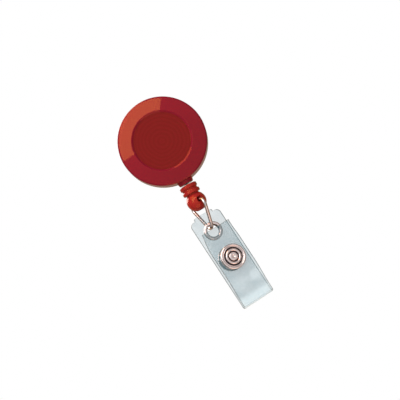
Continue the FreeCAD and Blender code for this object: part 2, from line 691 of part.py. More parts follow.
back_flare = solid("Cone", "back_flare",
                   ("0", "ball_radius - cross_flare_depth", "-ball_centre"), BACKWARD,
                   Radius1="cross_hole_radius", Radius2="cross_flare_radius",
                   Height="cross_flare_depth")
finished(cut("bead", bead_rounded, cord_hole, knot_pocket, cross_hole, front_flare, back_flare),
         "cord_bead", Placement(CHAIN_AXIS, LINK_TURN))

# ---------------------------------------------------------------- wire link

half_bar = size("link_bar") / 2
toe_below = size("link_height") - size("link_toe")
run = math.hypot(half_bar, toe_below - size("link_shoulder"))
leg_slope = math.atan2(half_bar, toe_below - size("link_shoulder"))
leg_turn = math.asin((size("link_shoulder") - size("link_toe")) / run)
shoulder_turn = math.pi / 2 + leg_slope - leg_turn
leg = math.sqrt(run ** 2 - (size("link_shoulder") - size("link_toe")) ** 2)
shoulder_move = (size("link_shoulder") * shoulder_turn, -shoulder_turn)
toe_turn = 2 * math.pi - 2 * shoulder_turn
link_moves = [
    (size("link_bar"), 0),
    shoulder_move,
    (leg, 0),
    (size("link_toe") * toe_turn, -toe_turn),
    (leg, 0),
    shoulder_move,
]
link_shape = round_bar((-half_bar, 0), 0, link_moves, size("wire_radius"))
# The link's plane holds the vertical and the axis of the ball's cross hole.
bar_centre = CHAIN_AXIS + LINK_SHIFT - Vector(0, 0, size("ball_centre"))
link_place = Placement(bar_centre, LINK_TURN.multiply(SIDE_SECTION))
feature("wire_link", link_shape, link_place)

# ---------------------------------------------------------------- strap

back_leaf = doc.addObject("PartDesign::Body", "back_leaf")
leaf_sketch = new_sketch(back_leaf, "back_leaf_outline", "XZ_Plane")
outline(leaf_sketch, [
    ("-strap_width / 2", "-fold_centre"),
    ("strap_width / 2", "-fold_centre"),
    ("strap_width / 2", "back_leaf_top"),
    ("tab_width / 2", "back_leaf_top"),
    ("tab_width / 2", "back_leaf_top + tab_height"),
    ("-tab_width / 2", "back_leaf_top + tab_height"),
    ("-tab_width / 2", "back_leaf_top"),
    ("-strap_width / 2", "back_leaf_top"),
])
circle(leaf_sketch, "eyelet_barrel_radius + fit_gap")
circle(leaf_sketch, "snap_shank_radius + fit_gap", "0", "-snap_drop")
leaf_pad = back_leaf.newObject("PartDesign::Pad", "back_leaf_pad")
leaf_pad.Profile = leaf_sketch
bind(leaf_pad, "Length", "strap_thickness")
leaf_pad.Midplane = True
back_leaf.Tip = leaf_pad


def upright_at(edge, across, up):
    """True for an edge through the vinyl's thickness at (across, up) or its mirror image."""
    box = edge.BoundBox
    through = box.YLength > size("strap_thickness") - NEAR and max(box.XLength, box.ZLength) < NEAR
    return through and abs(abs(box.Center.x) - across) < NEAR and abs(box.Center.z - up) < NEAR


half_width, leaf_top = size("strap_width") / 2, size("back_leaf_top")
rounded_body(back_leaf, "shoulder_round", lambda edge: upright_at(edge, half_width, leaf_top))
tab_top = leaf_top + size("tab_height")
rounded_body(back_leaf, "tab_round", lambda edge: upright_at(edge, size("tab_width") / 2, tab_top))
finished(back_leaf, "strap_back_leaf", STRAP_PLACE)

# The fold and the front leaf are strips in the strap's side view: x back, y up.
thickness, width = size("strap_thickness"), size("strap_width")
side_place = STRAP_PLACE.multiply(Placement(Vector(-width / 2, 0, 0), SIDE_SECTION))
fold_low = -size("fold_centre")
half_turn_back = (math.pi * size("fold_radius"), -math.pi)
fold_shape = strip((0, fold_low), -math.pi / 2, [half_turn_back], thickness, width)
feature("strap_fold", fold_shape, side_place)

rise_run = size("fold_centre") - size("snap_drop") - size("snap_flat") / 2
rise_off = size("leaf_spacing") - 2 * size("fold_radius")
rise_radius = (rise_run ** 2 + rise_off ** 2) / (4 * rise_off)
rise_turn = math.asin(rise_run / 2 / rise_radius)
bow_run = size("snap_drop") - size("snap_flat") / 2 + size("free_end_rise")
bow_radius = (bow_run ** 2 + size("free_end_bow") ** 2) / (2 * size("free_end_bow"))
bow_turn = math.asin(bow_run / bow_radius)
front_moves = [
    (rise_radius * rise_turn, rise_turn),
    (rise_radius * rise_turn, -rise_turn),
    (size("snap_flat"), 0),
    (bow_radius * bow_turn, bow_turn),
]
front_strip = strip((-2 * size("fold_radius"), fold_low), math.pi / 2, front_moves, thickness, width)
leaf_reach = 2 * size("leaf_spacing")
snap_tool = Part.makeCylinder(size("ring_shank_radius") + size("fit_gap"), leaf_reach,
                              Vector(-leaf_reach, -size("snap_drop"), width / 2), Vector(1, 0, 0))
feature("strap_front_leaf", front_strip.cut(snap_tool), side_place)

# ---------------------------------------------------------------- eyelet and snap


def on_strap(up, forward, turn=TO_CASE):
    """A place on the strap for a turned piece, whose z points forward unless turned round."""
    return STRAP_PLACE.multiply(Placement(Vector(0, -forward, up), turn))


barrel = turned("eyelet", [
    ("eyelet_radius", "0"),
    ("eyelet_barrel_radius + eyelet_roll", "0"),
    ("eyelet_barrel_radius + eyelet_roll", "eyelet_roll"),
    ("eyelet_barrel_radius", "eyelet_roll"),
    ("eyelet_barrel_radius", "eyelet_back + strap_thickness / 2"),
    ("eyelet_flange_radius", "eyelet_back + strap_thickness / 2"),
    ("eyelet_flange_radius", "eyelet_back + strap_thickness / 2 + eyelet_flange"),
    ("eyelet_radius", "eyelet_back + strap_thickness / 2 + eyelet_flange"),
])
eyelet_end = size("eyelet_back") + thickness / 2 + size("eyelet_flange")
rounded_body(barrel, "eyelet_flange_round",
             lambda edge: is_ring(edge, size("eyelet_flange_radius"))
             and edge.BoundBox.ZMin > eyelet_end - NEAR)
rounded_body(barrel, "eyelet_mouth_round", lambda edge: is_ring(edge, size("eyelet_radius")))
finished(barrel, "eyelet", on_strap(0, -size("eyelet_back")))

washer_back = thickness / 2 + size("washer_thickness")
finished(turned("washer", [
    ("eyelet_barrel_radius + fit_gap", "0"),
    ("eyelet_flange_radius", "0"),
    ("eyelet_flange_radius", "washer_thickness"),
    ("eyelet_barrel_radius + fit_gap", "washer_thickness"),
]), "eyelet_washer", on_strap(0, -washer_back))

snap_up = -size("snap_drop")
cap = turned("cap", [
    ("0", "0"),
    ("snap_radius", "0"),
    ("snap_radius", "snap_cap_height"),
    ("snap_shank_radius", "snap_cap_height"),
    ("snap_shank_radius", "snap_cap_height + strap_thickness + socket_base - fit_gap"),
    ("0", "snap_cap_height + strap_thickness + socket_base - fit_gap"),
])
rounded_body(cap, "snap_cap_height / 2", lambda edge: is_ring(edge, size("snap_radius"))
             and edge.BoundBox.ZMax < NEAR)
cap_back = thickness / 2 + size("snap_cap_height")
finished(cap, "snap_cap", on_strap(snap_up, -cap_back))

socket = turned("socket", [
    ("snap_shank_radius + fit_gap", "0"),
    ("socket_radius", "0"),
    ("socket_radius", "socket_base"),
    ("socket_wall_radius", "socket_base"),
    ("socket_wall_radius", "socket_height"),
    ("socket_bore_radius", "socket_height"),
    ("socket_bore_radius", "socket_base"),
    ("snap_shank_radius + fit_gap", "socket_base"),
])
rounded_body(socket, "socket_round", lambda edge: is_ring(edge, size("socket_wall_radius"))
             and edge.BoundBox.ZMin > size("socket_base") + NEAR)
finished(socket, "snap_socket", on_strap(snap_up, thickness / 2))

stud = turned("stud", [
    ("ring_shank_radius + fit_gap", "0"),
    ("stud_flange_radius", "0"),
    ("stud_flange_radius", "stud_flange"),
    ("socket_bore_radius - 2 * turn_gap", "stud_flange"),
    ("socket_bore_radius - turn_gap", "stud_height - stud_tip"),
    ("socket_bore_radius - 4 * turn_gap", "stud_height"),
    ("ring_shank_radius + fit_gap", "stud_height"),
])
finished(stud, "snap_stud", on_strap(snap_up, size("front_leaf_back"), BACKWARD))

ring = turned("ring", [
    ("0", "0"),
    ("ring_shank_radius", "0"),
    ("ring_shank_radius", "ring_shank"),
    ("snap_radius", "ring_shank"),
    ("snap_radius", "ring_shank + ring_rim_height"),
    ("ring_groove_outer", "ring_shank + ring_rim_height"),
    ("ring_groove_outer", "ring_shank + ring_floor"),
    ("ring_bead_outer", "ring_shank + ring_floor"),
    ("ring_bead_outer", "ring_shank + ring_bead_height"),
    ("ring_bead_inner", "ring_shank + ring_bead_height"),
    ("ring_bead_inner", "ring_shank + ring_floor"),
    ("ring_hub_radius", "ring_shank + ring_floor"),
    ("ring_hub_radius", "ring_shank + ring_hub_height"),
    ("ring_dimple_radius", "ring_shank + ring_hub_height"),
    ("ring_dimple_radius", "ring_shank + ring_hub_height - ring_dimple"),
    ("0", "ring_shank + ring_hub_height - ring_dimple"),
])
ring_top = size("ring_shank") + size("ring_rim_height")
rounded_body(ring, "ring_rim_height / 2", lambda edge: edge.BoundBox.ZMin > ring_top - NEAR
             and (is_ring(edge, size("snap_radius")) or is_ring(edge, size("ring_groove_outer"))))
ring_back = size("leaf_spacing") + thickness / 2 - size("ring_shank")
finished(ring, "snap_ring", on_strap(snap_up, ring_back))

# ---------------------------------------------------------------- check and export

doc.recompute()
for item in doc.Objects:
    if {"Invalid", "Error"} & set(item.State):
        raise RuntimeError(f"{item.Name} did not build: {item.State}")
for piece in pieces:
    if piece.Shape.isNull() or not piece.Shape.isValid() or not piece.Shape.Solids:
        raise RuntimeError(f"{piece.Label} is not a sound solid")

os.makedirs("parts", exist_ok=True)
for piece in pieces:
    piece.Shape.exportStep(f"parts/{piece.Label}.step")
    box = piece.Shape.BoundBox
    print(f"{piece.Label:18s} {piece.Shape.Volume:9.2f} mm3, {len(piece.Shape.Solids)} solid,"
          f" z {box.ZMin:7.2f} to {box.ZMax:7.2f}")
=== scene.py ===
# %% [markdown]
# # A retractable badge reel
# The object hangs from a belt: a round case of clear red plastic, a cord spout, a ridged bead, a
# wire link and a clear strap that snaps shut round a badge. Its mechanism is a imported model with
# joints. This lesson loads that model as a fixed frame and then builds a finished surface for
# every piece, one short step at a time.

# %% Load the frame
import json
import math

import bmesh
import bpy
from mathutils import Matrix, Vector


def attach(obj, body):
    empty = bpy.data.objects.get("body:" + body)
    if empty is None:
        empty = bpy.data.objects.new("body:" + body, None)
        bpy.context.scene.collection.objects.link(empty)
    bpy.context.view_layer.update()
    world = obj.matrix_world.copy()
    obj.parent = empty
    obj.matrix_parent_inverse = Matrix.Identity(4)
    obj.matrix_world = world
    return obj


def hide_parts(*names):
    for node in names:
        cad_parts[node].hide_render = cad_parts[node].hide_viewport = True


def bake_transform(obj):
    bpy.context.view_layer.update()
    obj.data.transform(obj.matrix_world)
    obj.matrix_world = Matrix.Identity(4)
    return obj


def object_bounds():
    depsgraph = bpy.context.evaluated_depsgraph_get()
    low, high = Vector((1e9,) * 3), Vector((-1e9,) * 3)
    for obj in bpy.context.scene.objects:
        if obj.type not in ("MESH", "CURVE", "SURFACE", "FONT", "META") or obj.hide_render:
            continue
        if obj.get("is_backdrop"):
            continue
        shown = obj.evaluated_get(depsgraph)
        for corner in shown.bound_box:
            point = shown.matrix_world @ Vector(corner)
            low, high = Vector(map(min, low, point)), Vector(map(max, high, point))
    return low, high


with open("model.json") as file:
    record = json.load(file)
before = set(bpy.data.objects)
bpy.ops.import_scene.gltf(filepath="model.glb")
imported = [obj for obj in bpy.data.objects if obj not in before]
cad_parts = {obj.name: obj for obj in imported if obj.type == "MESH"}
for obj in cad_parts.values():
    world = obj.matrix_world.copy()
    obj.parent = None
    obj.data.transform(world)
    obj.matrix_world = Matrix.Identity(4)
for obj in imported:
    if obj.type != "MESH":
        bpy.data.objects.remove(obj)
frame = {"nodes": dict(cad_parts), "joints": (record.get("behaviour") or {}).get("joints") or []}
cad_low, cad_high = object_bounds()
MM = 0.001
print("loaded", len(frame["nodes"]), "nodes; size in mm", [round(v / MM, 1) for v in cad_high - cad_low])

# %% [markdown]
# The joints say where things are. The spool's hinge gives the case's axis, the link's hinge the
# centre of the bead's ball, and the strap's two hinges give the strap's own directions: across,
# up and out of the front. Each group of pieces is drawn in a simple frame of its own, in
# millimetres, and a matrix takes it to its place in metres.

# %% Places and directions from the joints
joints = {joint["name"]: joint for joint in frame["joints"]}


def place_of(joint):
    return Vector(joints[joint]["pos_m"])


def direction_of(joint):
    return Vector(joints[joint]["axis"]).normalized()


def frame_at(origin, across, up):
    """A matrix from millimetres (x across, y up, z along across x up) to metres."""
    turn = Matrix((across, up, across.cross(up))).transposed().to_4x4()
    return Matrix.Translation(origin) @ turn @ Matrix.Scale(MM, 4)


UP, RIGHT, BACK = Vector((0, 0, 1)), Vector((1, 0, 0)), Vector((0, 1, 0))
chain_axis = Vector((0, place_of("spool_spin").y, 0))
ball_centre = place_of("link_swing")
link_end = place_of("strap_swing")
bar_way = direction_of("link_swing")
strap_across = direction_of("strap_open")
strap_front = direction_of("strap_swing")
strap_up = strap_front.cross(strap_across)

CASE = frame_at(Vector((0, 0, 0)), RIGHT, UP)
LINK_SLIDE, EYELET_BELOW_LINK = 0.3, 1.18
bead_yaw = Matrix.Rotation(bar_way.xy.angle_signed(Vector((0, -1))), 4, "Z")
BEAD = Matrix.Translation(chain_axis) @ bead_yaw @ Matrix.Scale(MM, 4)
LINK = frame_at(ball_centre - bar_way * LINK_SLIDE * MM, bar_way, UP)
eyelet_centre = link_end - strap_up * EYELET_BELOW_LINK * MM
STRAP = frame_at(eyelet_centre, strap_across, strap_up)
STRAP_SIDE = frame_at(eyelet_centre, -strap_front, strap_up)
CLIP_SIDE = frame_at(Vector((0, 0, 0)), BACK, UP)
BALL_DROP = -ball_centre.z / MM
print("ball centre", [round(v / MM, 2) for v in ball_centre], "mm; strap up", [round(v, 3) for v in strap_up])

# %% [markdown]
# The camera looks at the front from a little below, and it is rolled by thirty degrees, so the
# strap hangs towards the lower right of the view. A long lens far away keeps the round case
# round. The view's middle lies below and a little to the right of the case's centre.

# %% Camera
CAMERA_BELOW, CAMERA_ROLL = math.radians(5), math.radians(29.65)
CAMERA_AWAY, VIEW_WIDTH, SENSOR = 0.6, 0.141, 36.0
look = Vector((0, math.cos(CAMERA_BELOW), math.sin(CAMERA_BELOW)))
level_up = Vector((0, -math.sin(CAMERA_BELOW), math.cos(CAMERA_BELOW)))
view_right = RIGHT * math.cos(CAMERA_ROLL) - level_up * math.sin(CAMERA_ROLL)
view_up = RIGHT * math.sin(CAMERA_ROLL) + level_up * math.cos(CAMERA_ROLL)
AIM_RIGHT, AIM_BELOW = 1.29, 25.13
aim = Vector((AIM_RIGHT * MM, cad_low.y, -AIM_BELOW * MM))

camera_data = bpy.data.cameras.new("camera")
camera_data.sensor_width = SENSOR
camera_data.lens = SENSOR * CAMERA_AWAY / VIEW_WIDTH
camera_data.clip_end = 20
camera = bpy.data.objects.new("camera", camera_data)
bpy.context.scene.collection.objects.link(camera)
camera_turn = Matrix((view_right, view_up, -look)).transposed().to_4x4()
camera.matrix_world = Matrix.Translation(aim - look * CAMERA_AWAY) @ camera_turn
bpy.context.scene.camera = camera
print("camera", [round(v, 3) for v in camera.location], "lens", round(camera_data.lens), "mm")

# %% [markdown]
# Every light and finish here is a small tree of shader nodes. Two helpers keep the trees short:
# one makes a node with its values set, and one draws several links at once.

# %% Shader node helpers


def node(tree, kind, **values):
    """A shader node. Values named like its fields are set on it, and the rest on its sockets."""
    made = tree.nodes.new("ShaderNode" + kind)
    for name, value in values.items():
        if hasattr(made, name):
            setattr(made, name, value)
        else:
            made.inputs[name.replace("_", " ")].default_value = value
    return made


def link_up(tree, *pairs):
    for source, target in pairs:
        tree.links.new(source, target)


print("node helpers ready")

# %% [markdown]
# Clear and shiny things show their surroundings, so the light is part of their look. The world is
# white to the camera, which keeps the background clean. To everything else it is pale in front,
# nearly black at the sides and a warm brown behind. The dark sides draw dark lines along the
# edges of plastic and metal, and the warm band beyond them rims the round edges with orange.

# %% World
scene = bpy.context.scene
scene.view_settings.view_transform = "Standard"
world = bpy.data.worlds.new("studio")
world.use_nodes = True
scene.world = world
sky = world.node_tree
sky.nodes.clear()
world_out = node(sky, "OutputWorld")
for_camera = node(sky, "Background", Color=(1, 1, 1, 1), Strength=1.0)
for_rest = node(sky, "Background", Strength=1.0)
direction = node(sky, "TexCoord")
parts_of = node(sky, "SeparateXYZ")
from_front = node(sky, "MapRange", From_Min=-1.0)
tones = node(sky, "ValToRGB")
TONES = [
    (0.0, (0.80, 0.80, 0.82)), (0.22, (0.45, 0.45, 0.46)), (0.46, (0.06, 0.06, 0.06)),
    (0.60, (0.36, 0.20, 0.10)), (0.78, (0.62, 0.32, 0.12)), (0.95, (0.36, 0.27, 0.20)),
]
for place, tone in TONES[2:]:
    tones.color_ramp.elements.new(place)
for stop, (place, tone) in zip(tones.color_ramp.elements, TONES):
    stop.position = place
    stop.color = (*tone, 1)
path = node(sky, "LightPath")
pick = node(sky, "MixShader")
link_up(sky, (direction.outputs["Generated"], parts_of.inputs[0]),
        (parts_of.outputs["Y"], from_front.inputs["Value"]),
        (from_front.outputs["Result"], tones.inputs["Fac"]),
        (tones.outputs["Color"], for_rest.inputs["Color"]),
        (path.outputs["Is Camera Ray"], pick.inputs[0]), (for_rest.outputs[0], pick.inputs[1]),
        (for_camera.outputs[0], pick.inputs[2]), (pick.outputs[0], world_out.inputs["Surface"]))
print("world: from front to back", [tone for place, tone in TONES])

# %% [markdown]
# The key light is a large softbox beside the camera. One side of the sloping bevel mirrors it,
# with a crisp end, while the flat label face doesn't. To place it, we ask at which two points of
# the light's plane the camera's rays arrive from the two ends of the bright stretch, and run the
# softbox's inner edge through both.

# %% Key light from the bevel's mirror image
BEVEL_IN, BEVEL_OUT, BEVEL_RISE = 10.85, 15.5, 1.25
KEY_NEAR, KEY_DEPTH, KEY_LENGTH, KEY_WATTS = 0.45, 0.45, 0.8, 5.0
BRIGHT_FROM, BRIGHT_TO = math.radians(93), math.radians(207)


def softbox(name, centre, facing, across, size, watts, colour=(1, 1, 1)):
    """A rectangular area light at centre that shines along facing, and that the camera doesn't see."""
    light = bpy.data.lights.new(name, "AREA")
    light.shape = "RECTANGLE"
    light.size, light.size_y = size
    light.energy = watts
    light.color = colour
    lamp = bpy.data.objects.new(name, light)
    bpy.context.scene.collection.objects.link(lamp)
    lamp.visible_camera = False
    side = (across - facing * across.dot(facing)).normalized()
    turn = Matrix((side, facing.cross(side), -facing)).transposed().to_4x4()
    lamp.matrix_world = Matrix.Translation(centre) @ turn
    print(f"{name}: {size[0]} x {size[1]} m, {watts} W")


def mirrored(angle):
    """Where the bevel, at an angle in the view, mirrors the camera onto the key light's plane."""
    slope = math.atan2(BEVEL_RISE, BEVEL_OUT - BEVEL_IN)
    radial = RIGHT * math.cos(angle - CAMERA_ROLL) + UP * math.sin(angle - CAMERA_ROLL)
    spot = Vector((0, cad_low.y, 0)) + radial * (BEVEL_IN + BEVEL_OUT) / 2 * MM
    normal = radial * math.sin(slope) - BACK * math.cos(slope)
    away = (spot - camera.location).normalized().reflect(normal)
    plane = aim - look * KEY_NEAR
    return spot + away * ((plane - spot).dot(look) / away.dot(look))


edge_from, edge_to = mirrored(BRIGHT_FROM), mirrored(BRIGHT_TO)
key_side = (edge_to - edge_from).normalized()
outward = look.cross(key_side)
middle = aim - look * KEY_NEAR
if outward.dot(edge_from - middle) < 0:
    outward = -outward
key_centre = (edge_from + edge_to) / 2 + outward * KEY_DEPTH / 2
softbox("key_softbox", key_centre, look, outward, (KEY_DEPTH, KEY_LENGTH), KEY_WATTS)

# %% [markdown]
# Three weaker softboxes stand round the line of sight. The low one fills the lower right with a
# peach tone, the warm one at the left lights the far wall of the label recess, and the white one
# behind the object keeps its back from going dark. They point at the middle of the view.

# %% Other softboxes


def in_view(angle, off_axis, nearer):
    """A point off the line of sight, at an angle in the view and some way towards the camera."""
    way = view_right * math.cos(angle) + view_up * math.sin(angle)
    return aim - look * nearer + way * off_axis, way


WHITE, PEACH, WARM = (1.0, 1.0, 1.0), (1.0, 0.70, 0.58), (1.0, 0.42, 0.10)
for name, angle, off_axis, nearer, wide, watts, colour in (
        ("low_softbox", math.radians(-66), 0.5, 0.3, 0.46, 0.9, PEACH),
        ("side_softbox", math.radians(138), 0.5, 0.06, 0.4, 1.6, WARM),
        ("back_softbox", math.radians(160), 0.45, -0.4, 0.5, 4.0, WHITE)):
    centre, way = in_view(angle, off_axis, nearer)
    softbox(name, centre, (aim - centre).normalized(), way, (wide, wide), watts, colour)

# %% [markdown]
# The floor is a plain disc a metre below. It throws back a little light, and at rest it stays out
# of view. With the cord pulled right out, the badge end hangs in front of it.

# %% Floor
FLOOR_HEIGHT, FLOOR_RADIUS, FLOOR_POINTS = -1.0, 1.2, 64
floor_mesh = bpy.data.meshes.new("floor")
ring_points = []
for k in range(FLOOR_POINTS):
    angle = 2 * math.pi * k / FLOOR_POINTS
    ring_points.append((FLOOR_RADIUS * math.cos(angle), FLOOR_RADIUS * math.sin(angle), FLOOR_HEIGHT))
floor_mesh.from_pydata(ring_points, [], [tuple(range(FLOOR_POINTS))])
floor = bpy.data.objects.new("floor", floor_mesh)
bpy.context.scene.collection.objects.link(floor)
floor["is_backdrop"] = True
print("floor: a disc", FLOOR_RADIUS, "m in radius,", -FLOOR_HEIGHT, "m below")

# %% [markdown]
# Nearly every hard piece here is round, so its shape is an outline that gets turned, as on a lathe
# or in a mould. Real edges are never sharp: a corner of the outline may carry a radius, and it
# becomes a small arc that catches a line of light. A bevel modifier could do the same, but arcs
# drawn in the outline give every corner a radius of its own.

# %% Rounded outlines
ARC_STEP = math.radians(15)


def rounded(corners, closed=True):
    """Points of an outline. Each corner is (x, y) or (x, y, radius)."""
    points = []
    count = len(corners)
    for n, corner in enumerate(corners):
        here = Vector(corner[:2])
        radius = corner[2] if len(corner) > 2 else 0
        if not radius or (not closed and n in (0, count - 1)):
            points.append(here)
            continue
        back = (Vector(corners[n - 1][:2]) - here).normalized()
        on = (Vector(corners[(n + 1) % count][:2]) - here).normalized()
        half_angle = back.angle(on) / 2
        centre = here + (back + on).normalized() * (radius / math.sin(half_angle))
        start = here + back * (radius / math.tan(half_angle)) - centre
        end = here + on * (radius / math.tan(half_angle)) - centre
        turn = start.angle_signed(end)
        steps = max(2, math.ceil(abs(turn) / ARC_STEP))
        points += [centre + Matrix.Rotation(-turn * k / steps, 2) @ start for k in range(steps + 1)]
    return points


print("a corner with a radius becomes", len(rounded([(0, 0, 1), (4, 0), (4, 4), (0, 4)])) - 3, "points")

# %% [markdown]
# A piece starts as points and faces in a simple frame of its own, in millimetres, and a matrix
# takes it to its place in metres. Smooth shading alone would make its flat faces look pillowy, so
# sharp edges are marked by their angle, and a weighted-normal modifier gives the large faces the
# say over the rest. Modifiers are turned into the mesh at once, so that what is seen is the mesh.

# %% A new piece and its shading
SHARP = math.radians(34)
LARGE_FACES_LEAD = 100


def new_piece(name, points, faces, place):
    """A mesh piece from points in a frame of its own, moved to its place in metres."""
    mesh = bpy.data.meshes.new(name)
    mesh.from_pydata([tuple(point) for point in points], [], faces)
    mesh.transform(place)
    work = bmesh.new()
    work.from_mesh(mesh)
    bmesh.ops.recalc_face_normals(work, faces=work.faces)
    work.to_mesh(mesh)
    work.free()
    piece = bpy.data.objects.new(name, mesh)
    bpy.context.scene.collection.objects.link(piece)
    return piece


def keep_modifiers(piece):
    """Makes the result of a piece's modifiers its own mesh."""
    bpy.context.view_layer.update()
    graph = bpy.context.evaluated_depsgraph_get()
    made = bpy.data.meshes.new_from_object(piece.evaluated_get(graph))
    piece.modifiers.clear()
    piece.data = made


def even_shading(piece):
    """Smooth arcs, flat flats and crisp corners."""
    piece.data.shade_smooth()
    piece.data.set_sharp_from_angle(angle=SHARP)
    weighted = piece.modifiers.new("even_shading", "WEIGHTED_NORMAL")
    weighted.keep_sharp = True
    weighted.weight = LARGE_FACES_LEAD
    keep_modifiers(piece)


print("edges above", round(math.degrees(SHARP)), "degrees stay crisp")

# %% [markdown]
# A lathe turns an outline once round an axis. A point on the axis becomes one shared point, so
# the middle of a disc has no stray faces. What isn't round is cut out or joined on with exact
# booleans, which keep flat faces flat where the quicker solver may leave gaps.

# %% Lathe and carving
ON_AXIS = 1e-6


def lathe(name, outline, place, segments=96):
    """A closed outline of (radius, height) points, turned once round its height axis."""
    points, rings = [], []
    for radius, height in outline:
        if radius < ON_AXIS:
            rings.append([len(points)] * segments)
            points.append((0, 0, height))
            continue
        rings.append(list(range(len(points), len(points) + segments)))
        for k in range(segments):
            angle = 2 * math.pi * k / segments
            points.append((radius * math.cos(angle), radius * math.sin(angle), height))
    faces = []
    for here, there in zip(rings, rings[1:] + rings[:1]):
        for k in range(segments):
            face = list(dict.fromkeys([here[k], here[k - 1], there[k - 1], there[k]]))
            if len(face) > 2:
                faces.append(face)
    return new_piece(name, points, faces, place)


def carve(piece, *tools, operation="DIFFERENCE"):
    """Cuts tools out of a piece, or joins them to it, and removes them."""
    for tool in tools:
        change = piece.modifiers.new("carve", "BOOLEAN")
        change.operation = operation
        change.solver = "EXACT"
        change.object = tool
        keep_modifiers(piece)
        bpy.data.objects.remove(tool)
    return piece


print("lathe and carving ready")

# %% [markdown]
# Every piece has to move with the mechanism. It rides one of the frame's bodies, and the
# mechanism's own pieces that it stands for are hidden.

# %% Dressing a piece


def dress(piece, body, slot, *nodes):
    """Hangs a piece on its body and takes the CAD nodes' place. The slot is not used."""
    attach(piece, body)
    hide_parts(*nodes)
    print(f"{piece.name}: {len(piece.data.polygons)} faces, on {body}")
    return piece


print("pieces ride a body and replace the mechanism's own")

# %% [markdown]
# ## The case
# The case is two moulded shells that meet in the plane of the cord. The front shell rises in a
# shallow cone to a round recess for a label. Each shell carries half of the tapered spout, and
# the cord's way is cut out of both. A lathe gives the round shells, and exact booleans add the
# spout, because a spout on the side of a dish is not round.

# %% Case sizes
CASE_RADIUS, WALL, CASE_BACK, CASE_DEPTH = 16.0, 1.1, 3.0, 10.5
FACE = CASE_BACK + CASE_DEPTH
SEAM = CASE_BACK + CASE_DEPTH / 2
SEAM_GAP = 0.02
LABEL_RADIUS, LABEL_DEEP = 10.2, 0.6
LIP_RADIUS, LIP_WALL, LIP_RISE = 14.85, 0.5, 0.8
POST, POST_BORE, BOSS_WALL, BOSS_RISE = 2.2, 1.0, 1.0, 0.6
FRONT_INSIDE = FACE - LABEL_DEEP - WALL
WALL_INSIDE = CASE_RADIUS - WALL
SPOUT_END, SPOUT_END_RADIUS, SPOUT_TAPER = 17.25, 2.65, 0.258
SPOUT_ROOT = WALL_INSIDE + 0.05
SLAB = 20
CORD, CORD_HOLE, INNER_FLARE, OUTER_FLARE = 0.35, 0.7, 2.1, 1.05
HOLE_FROM, BORE_FROM, BORE_TO, HOLE_TO = 13.9, 15.6, 17.0, 17.4
TO_DROP = Matrix.Translation((0, 0, SEAM)) @ Matrix.Rotation(math.radians(90), 4, "X")
print("case", 2 * CASE_RADIUS, "mm across,", CASE_DEPTH, "mm deep; seam at", SEAM)

# %% [markdown]
# Each shell is one closed outline that runs up the outside and back down the inside. The rear
# shell also carries the lip that centres the front one and the post that the spool turns on.

# %% Shell outlines
front_outline = rounded([
    (CASE_RADIUS, SEAM + SEAM_GAP, 0.1),
    (CASE_RADIUS, FACE - BEVEL_RISE - 0.4, 0.35),
    (BEVEL_OUT, FACE - BEVEL_RISE, 0.35),
    (BEVEL_IN, FACE, 0.25),
    (LABEL_RADIUS, FACE - LABEL_DEEP, 0.2),
    (0, FACE - LABEL_DEEP),
    (0, FRONT_INSIDE),
    (POST + 0.05, FRONT_INSIDE),
    (POST + 0.05, FRONT_INSIDE - BOSS_RISE),
    (POST + BOSS_WALL, FRONT_INSIDE - BOSS_RISE, 0.1),
    (POST + BOSS_WALL, FRONT_INSIDE, 0.2),
    (BEVEL_IN, FRONT_INSIDE, 0.8),
    (WALL_INSIDE, FACE - BEVEL_RISE - WALL, 0.5),
    (WALL_INSIDE, SEAM + SEAM_GAP),
])
rear_outline = rounded([
    (POST_BORE, CASE_BACK),
    (CASE_RADIUS - 0.45, CASE_BACK, 0.35),
    (CASE_RADIUS, CASE_BACK + 0.45, 0.35),
    (CASE_RADIUS, SEAM - SEAM_GAP, 0.1),
    (LIP_RADIUS, SEAM - SEAM_GAP),
    (LIP_RADIUS, SEAM + LIP_RISE, 0.1),
    (LIP_RADIUS - LIP_WALL, SEAM + LIP_RISE, 0.1),
    (LIP_RADIUS - LIP_WALL, CASE_BACK + WALL, 0.4),
    (POST, CASE_BACK + WALL, 0.3),
    (POST, FRONT_INSIDE - 0.25, 0.15),
    (POST_BORE, FRONT_INSIDE - 0.25),
])
print("outlines of", len(front_outline), "and", len(rear_outline), "points")

# %% [markdown]
# The spout is a cone on the side of the round case, so a lathe in the case's own direction can't
# make it. It is turned about the cord instead, and a slab keeps the half that belongs to a shell.
# The cord's hole is turned the same way and flares where the cord bends over its edges.

# %% Spout and cord hole


def spout_half(low, high):
    """The part of the tapered spout between two depths of the case."""
    root_radius = SPOUT_END_RADIUS + SPOUT_TAPER * (SPOUT_END - SPOUT_ROOT)
    ends = [(0, SPOUT_ROOT), (root_radius, SPOUT_ROOT), (SPOUT_END_RADIUS, SPOUT_END, 0.3), (0, SPOUT_END)]
    cone = lathe("spout", rounded(ends, closed=False), CASE @ TO_DROP, 72)
    slab = [(x, y, z) for x in (-SLAB, SLAB) for y in (-SLAB, 0) for z in (low, high)]
    sides = [(0, 1, 3, 2), (4, 6, 7, 5), (0, 4, 5, 1), (2, 3, 7, 6), (0, 2, 6, 4), (1, 5, 7, 3)]
    return carve(cone, new_piece("slab", slab, sides, CASE), operation="INTERSECT")


def cord_way():
    """The hole for the cord, with a flared mouth at each end."""
    line = [
        (0, HOLE_FROM), (INNER_FLARE, HOLE_FROM), (CORD_HOLE, BORE_FROM),
        (CORD_HOLE, BORE_TO), (OUTER_FLARE, HOLE_TO), (0, HOLE_TO),
    ]
    return lathe("cord_way", rounded(line), CASE @ TO_DROP, 48)


print("spout from", SPOUT_ROOT, "to", SPOUT_END, "mm below the case's centre")

# %% [markdown]
# Now the shells themselves: turn the outline, join the half spout on, and cut the cord's hole.

# %% Case shells


